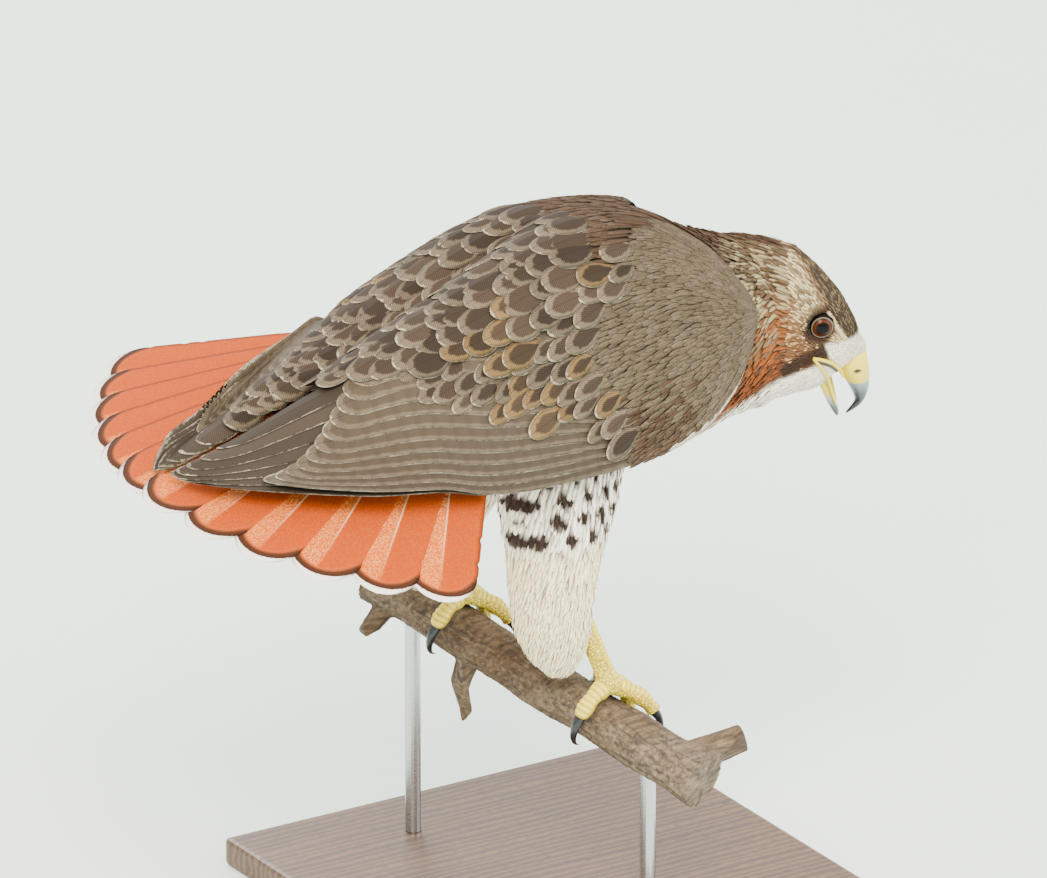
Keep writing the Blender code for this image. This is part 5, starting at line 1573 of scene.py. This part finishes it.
def scale_material():
    """Scaly foot skin: yellow keratin plates and small side scales, creases in painted shade, tops in
    painted highlight.
    """
    material, tree, shader = new_material("yellow_foot_scales")
    plate = carried(tree, "Plate")
    spot = add(tree, "TexCoord")
    cells = add(
        tree, "TexVoronoi", {"Vector": spot.outputs["Object"], "Scale": 480.0}, feature="DISTANCE_TO_EDGE"
    )
    pebble = add(tree, "MapRange", {0: cells.outputs["Distance"], 2: 0.22})
    height = add(tree, "Mix", {0: plate[1], 2: pebble, 3: plate[2]}, data_type="FLOAT")
    # painted shade in the creases between plates and scales, and a painted highlight on the plate tops
    colour = add(
        tree, "ValToRGB", {"Fac": height},
        stops=[(0.0, "#7c6210"), (0.35, "#c4a51e"), (0.75, "#dcc634"), (1.0, "#e6d54e")],
    )
    plug(shader, {"Base Color": colour, "Roughness": 0.42})
    bump(shader, height, 0.6, 0.0005)
    return material


def claw_material():
    """Claw horn: black keratin with a satin polish and fine lines along it."""
    material, tree, shader = new_material("black_claw_keratin")
    spot = add(tree, "TexCoord")
    lines = add(tree, "TexNoise", {"Vector": spot.outputs["Object"], "Scale": 900.0})
    colour = add(tree, "ValToRGB", {"Fac": lines}, stops=[(0.3, "#0d0d0f"), (0.7, "#26272b")])
    plug(shader, {"Base Color": colour, "Roughness": 0.22})
    return material


foot_scales, claw_keratin = scale_material(), claw_material()
down, ahead_axis, up = perch_axes()
for name, offset in FOOT_OFFSETS.items():
    rise = PERCH_RADIUS + TOE_RADIUS + SOLE_GAP
    parts = []
    for toe_name, turn, length, claw in TOES:
        gone = np.linspace(0.0, length, int(length / TOE_STEP))
        middle = toe_line(offset, turn, gone)
        axis_line = toe_line(offset, turn, gone, 1.0, 10.0)
        share = gone / length
        radius = TOE_RADIUS + (TOE_TIP_RADIUS - TOE_RADIUS) * share
        radius = radius - 0.5 * np.cos(gone * 2.0 * np.pi / 15.0) * ease(0.1, 0.3, share)
        radius[-3:] = radius[-3:] * np.array([0.93, 0.8, 0.55])
        parts.append(limb(middle, axis_line - middle, radius, 28, 1.0))
        along = np.linspace(0.0, 1.0, CLAW_ROWS)
        claw_gone = length - 2.5 + (claw + 2.5) * along
        sink = np.clip((claw_gone - length) / claw, 0.0, 1.0)
        drop = 2.1 * np.sin(np.pi * sink) - 3.2 * sink**2
        middle = toe_line(offset, turn, claw_gone, 0.92, drop)
        above = toe_line(offset, turn, claw_gone, 0.92, drop + 10.0) - middle
        radius = CLAW_RADIUS * (1.0 - 0.96 * along**1.35)
        points, triangles, values = limb(middle, above, radius, 24, 0.0)
        item = array_piece(
            "claw_" + toe_name + "_horn_" + name, points, triangles, claw_keratin, "claw_horn", None,
            {"Plate": values},
        )
        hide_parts("claw_" + toe_name + "_" + name)
    ankle = perch_spot(np.array([offset]), np.array([0.0]), np.array([rise + 2.0]))[0]
    shank_top = np.array(SHANK_TOPS[name])
    middle = ankle + (shank_top - ankle) * np.linspace(-0.06, 1.0, SHANK_ROWS)[:, None]
    radius = SHANK_RADIUS + 1.6 * (1.0 - ease(0.0, 0.25, np.linspace(0.0, 1.0, SHANK_ROWS)))
    points, triangles, values = limb(middle, (1.0, 0.0, 0.0), radius, 32, 1.0)
    item = array_piece(
        "shank_scales_" + name, points, triangles, foot_scales, "leg_scales", None, {"Plate": values}
    )
    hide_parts("shank_" + name)
    turns = np.linspace(0.0, np.pi, PAD_ROWS)
    middle = ankle + up * (PAD_RADIUS * 0.72 * np.cos(np.pi - turns))[:, None] * 0.97
    radius = np.maximum(PAD_RADIUS * np.sin(turns), 0.2) * 0.98
    parts.append(limb(middle, ahead_axis, radius, 28, 0.0))
    points, triangles, values = join_arrays(parts)
    item = array_piece(
        "foot_scales_" + name, points, triangles, foot_scales, "leg_scales", None, {"Plate": values}
    )
    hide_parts("foot_" + name)


# %% [markdown]
# The small feathers of the body are tufts that overlap like tiles. Their roots are scattered over
# the skin at distances that suit their length, tiny round the bill and longer towards the belly.
# Each tuft follows the skin backwards for its whole length and lifts a little towards its tip.

# %% Body feather sizes and lie
BILL_BASE = from_head(70.0, 0.0, -60.0)
# feathers of head, neck, torso, rump, vent and thighs: length, width and spacing over length, and
# the height of their tips over the skin
TUFT_LENGTHS = (4.2, 11.0, 21.0, 26.0, 24.0, 16.0, 16.0)
TUFT_WIDTHS = (0.25, 0.22, 0.26, 0.3, 0.24, 0.22, 0.22)
TUFT_SPACINGS = (0.150, 0.125, 0.140, 0.150, 0.140, 0.140, 0.140)
TUFT_RISES = (1.1, 2.2, 3.4, 2.4, 3.4, 3.4, 3.4)
TUFT_STATIONS = np.array([0.0, 0.45, 0.78, 0.93, 1.0])
TUFT_WIDENING = np.array([0.4, 1.0, 0.85, 0.5, 0.06])
TUFT_ACROSS = np.array([-1.0, 0.0, 1.0, 0.0])
TUFT_TOP = np.array([0.0, 1.0, 0.0, -0.3])
BACKWARDS = np.array([-1.0, 0.0, -0.12])
ALONG_TAIL = np.array([-1.0, 0.0, -0.25])
DOWN_LEG = np.array([-0.28, 0.0, -1.0])


def tuft_length(points, regions):
    """How long the feather is that grows at each point."""
    length = np.array(TUFT_LENGTHS)[regions]
    from_bill = np.linalg.norm(points - BILL_BASE, axis=1)
    length = np.where(regions == 0, 2.6 + 0.085 * from_bill, length)
    length = np.where(regions == 1, 5.0 + 0.1 * from_bill, length)
    length = np.where((regions == 2) & (points[:, 0] > 138.0), 14.0, length)
    low = ease(-120.0, -200.0, points[:, 2])
    return np.where(regions >= 5, length * (1.0 - 0.45 * low), length)


def tuft_flow(points, regions):
    """The way that the feathers lie at each point."""
    from_bill = unit(points - BILL_BASE)
    turned = -np.array([math.cos(HEAD_TURN), math.sin(HEAD_TURN), 0.0])
    flow = np.where((regions == 0)[:, None], from_bill + 0.15 * turned, BACKWARDS)
    flow = np.where((regions == 1)[:, None], 0.5 * from_bill + 0.5 * turned, flow)
    flow = np.where(((regions == 3) | (regions == 4))[:, None], ALONG_TAIL, flow)
    breast = (regions == 2) & (points[:, 0] > 120.0)
    flow = np.where(breast[:, None], BACKWARDS + np.array([0.0, 0.0, -0.15]), flow)
    high_leg = ease(-110.0, -60.0, points[:, 2])[:, None]
    flow = np.where((regions >= 5)[:, None], DOWN_LEG + high_leg * np.array([-0.4, 0.0, 0.5]), flow)
    return unit(flow)


# %% Scatter the roots
TUFT_TRIES = 70000
GRID_CELL = 4.0
# feathers that would stand under a wing, this many millimetres or nearer, are left out
WING_COVER = 45.0


def surface_samples(item, count, sizes):
    """Random points over a mesh, with their normals, denser where the feathers are small."""
    points, normals = mesh_points(item)
    item.data.calc_loop_triangles()
    corners = np.empty(len(item.data.loop_triangles) * 3, np.int32)
    item.data.loop_triangles.foreach_get("vertices", corners)
    corners = corners.reshape(-1, 3)
    a, b, c = points[corners[:, 0]], points[corners[:, 1]], points[corners[:, 2]]
    share = np.linalg.norm(np.cross(b - a, c - a), axis=1) / sizes[corners].mean(1) ** 2
    chosen = rng.choice(len(share), count, p=share / share.sum())
    first, second = rng.random(count), rng.random(count)
    over = first + second > 1.0
    first[over], second[over] = 1.0 - first[over], 1.0 - second[over]
    spots = a[chosen] + first[:, None] * (b - a)[chosen] + second[:, None] * (c - a)[chosen]
    return spots, unit(normals[corners[chosen]].mean(1))


def thin_out(points, spacing):
    """Indices of points that keep their own spacing from each other."""
    grid, kept = {}, []
    for index, (point, room) in enumerate(zip(points, spacing)):
        key = tuple((point // GRID_CELL).astype(int))
        reach = math.ceil(room / GRID_CELL)
        cells = product(*(range(middle - reach, middle + reach + 1) for middle in key))
        near = (point - points[other] for cell in cells for other in grid.get(cell, ()))
        if all(gap @ gap >= room * room for gap in near):
            grid.setdefault(key, []).append(index)
            kept.append(index)
    return np.array(kept)


skin_points, _ = mesh_points(skin)
skin_tree = search_tree(skin)
core_trees = [search_tree(core) for core in wing_cores]


def bare(points):
    """Where no feather grows or lies: the eyes, the corners of the mouth, and the bill."""
    forward, _, up_down = head_place(points)
    found = (forward > 58.0) & (up_down < -64.5 + 0.27 * (forward - 61.6))
    found |= (forward > 62.0) & (up_down < -63.5 + 0.27 * (forward - 61.6))
    for side in (-1, 1):
        centre, look = eye_axis(side)
        reach = (points - centre) @ look
        off_axis = np.linalg.norm(points - centre - reach[:, None] * look, axis=1)
        found |= (off_axis < 7.2) & (reach > 0.0)
        for line in (GAPE_UPPER, GAPE_LOWER, MOUTH_LINE):
            rows = from_head(*(np.array(line) * (1.0, side, 1.0)).T)
            for start, end in zip(rows[:-1], rows[1:]):
                run = end - start
                part = np.clip((points - start) @ run / (run @ run), 0.0, 1.0)
                found |= np.linalg.norm(points - start - part[:, None] * run, axis=1) < 1.7
    return found


roots, root_normals = surface_samples(skin, TUFT_TRIES, tuft_length(skin_points, skin_regions))
regions = nearest_region(roots)
lengths = tuft_length(roots, regions)
kept = thin_out(roots, lengths * np.array(TUFT_SPACINGS)[regions])
roots, root_normals = roots[kept], root_normals[kept]
regions, lengths = regions[kept], lengths[kept]
covered = np.zeros(len(roots), bool)
for index, (root, normal) in enumerate(zip(roots, root_normals)):
    hits = (tree.ray_cast(Vector(root), Vector(normal), WING_COVER)[0] for tree in core_trees)
    covered[index] = any(hit is not None for hit in hits)
open_skin = (~covered | (regions == 0)) & ~bare(roots)
roots, root_normals = roots[open_skin], root_normals[open_skin]
regions, lengths = regions[open_skin], lengths[open_skin]
print("body feathers:", len(roots))


# %% Lay the tufts
def drape(roots, normals, regions, lengths, tree, steps=4):
    """Each tuft's middle line as points and normals that follow the skin."""
    line = [roots]
    line_normals = [normals]
    spot = roots.copy()
    for _ in range(steps):
        flow = tuft_flow(spot, regions)
        normal = line_normals[-1]
        flow = unit(flow - normal * (flow * normal).sum(1)[:, None])
        ahead = spot + flow * (lengths / steps)[:, None]
        found = [tree.find_nearest(Vector(point)) for point in ahead]
        spot = np.array([tuple(item[0]) for item in found])
        line.append(spot)
        line_normals.append(np.array([tuple(item[1]) for item in found]))
    return np.stack(line, 1), np.stack(line_normals, 1)


def along_line(line, part):
    """Points at a share of the way along lines of equal steps."""
    steps = line.shape[1] - 1
    index = min(int(part * steps), steps - 1)
    inside = part * steps - index
    return line[:, index] * (1.0 - inside) + line[:, index + 1] * inside


def body_layout(roots, regions):
    """Where each root lies when the body is unrolled round its own length."""
    forward, left, up_down = head_place(roots)
    head_turn = np.arctan2(left, up_down + 45.0)
    body_turn = np.arctan2(roots[:, 1], roots[:, 2] + 20.0)
    leg_side = np.where(regions == 5, -47.0, 47.0)
    leg_turn = np.arctan2(roots[:, 1] - leg_side, roots[:, 0] - 32.0)
    turn = np.where(regions <= 1, head_turn, np.where(regions >= 5, leg_turn, body_turn))
    length = np.where(regions <= 1, (forward + 10.0) / 100.0, (roots[:, 0] + 115.0) / 330.0)
    length = np.where(regions >= 5, (roots[:, 2] + 230.0) / 200.0, length)
    return np.stack([0.02 + 0.94 * np.clip(length, 0, 1), 0.02 + 0.94 * (turn / (2 * np.pi) + 0.5)], 1)


# size of one tuft on the bake layout
PATCH = 0.003


def tufts(name, chosen, slot):
    """One object from all the tufts of some regions."""
    base, normal, region = roots[chosen], root_normals[chosen], regions[chosen]
    length = lengths[chosen] * rng.uniform(0.85, 1.15, chosen.sum())
    line, line_normals = drape(base, normal, region, length, skin_tree)
    clear = np.ones(len(base), bool)
    for step in range(line.shape[1]):
        clear &= ~bare(line[:, step])
    base, region, length = base[clear], region[clear], length[clear]
    line, line_normals = line[clear], line_normals[clear]
    count = len(base)
    width = length * np.array(TUFT_WIDTHS)[region] * rng.uniform(0.9, 1.1, count)
    rise = np.array(TUFT_RISES)[region] * rng.uniform(0.55, 1.0, count)
    shade = rng.uniform(0.84, 1.14, count)
    chance = rng.random(count)
    layout = body_layout(base, region)
    rows, columns = len(TUFT_STATIONS), len(TUFT_ACROSS)
    points = np.empty((count, rows, columns, 3))
    colours = np.ones((count, rows, columns, 4))
    patch = np.empty((count, rows, columns, 2))
    for row, (part, wide) in enumerate(zip(TUFT_STATIONS, TUFT_WIDENING)):
        middle = along_line(line, part)
        normal = unit(along_line(line_normals, part))
        ahead = unit(along_line(line, min(part + 0.1, 1.0)) - along_line(line, max(part - 0.1, 0.0)))
        side = np.cross(normal, ahead)
        lift = -0.5 + (rise + 0.5) * part**0.8
        arch = 0.13 * width * wide
        # colours are taken between root and place, so that a feather is of one piece
        ground, streak, strength = markings(0.3 * base + 0.7 * middle, region)
        streaked = np.where(chance < 0.62 * strength, 0.8, 0.12 * strength)
        for column, (across, top) in enumerate(zip(TUFT_ACROSS, TUFT_TOP)):
            sideways = side * (across * 0.5 * width * wide)[:, None]
            points[:, row, column] = middle + sideways + normal * (lift + arch * top)[:, None]
            amount = streaked * (1.0 - 0.3 * abs(across))
            # painted shade: each tuft darkens towards its root, under the tufts before it, and a little
            # at its edges; shade holds a random tone per tuft
            light = shade * (0.78 + 0.22 * part) * (1.0 - 0.1 * abs(across))
            colours[:, row, column, :3] = blend(ground, streak, amount) * light[:, None]
            patch[:, row, column] = layout + PATCH * np.array([0.5 * across, part])
    high = (rows - 1) * columns
    triangles = grid_triangles(rows, columns)
    triangles += [(0, step, step + 1) for step in range(1, columns - 1)]
    triangles += [(high, high + step + 1, high + step) for step in range(1, columns - 1)]
    shift = np.arange(count)[:, None, None] * (rows * columns)
    triangles = (np.array(triangles)[None] + shift).reshape(-1, 3)
    values = {"Coat": colours.reshape(-1, 4)}
    return array_piece(
        name, points.reshape(-1, 3), triangles, down_feather, slot, patch.reshape(-1, 2), values
    )


root_left = head_place(roots)[1]
GROUPS = (
    ("head_feathers_right", (regions == 0) & (root_left < 0.0), "head_feathers"),
    ("head_feathers_left", (regions == 0) & (root_left >= 0.0), "head_feathers"),
    ("neck_feathers", regions == 1, "head_feathers"),
    ("breast_feathers", regions == 2, "breast_feathers"),
    ("rump_feathers", (regions == 3) | (regions == 4), "breast_feathers"),
    ("thigh_feathers_right", regions == 5, "breast_feathers"),
    ("thigh_feathers_left", regions == 6, "breast_feathers"),
)
for name, chosen, slot in GROUPS:
    tufts(name, chosen, slot)
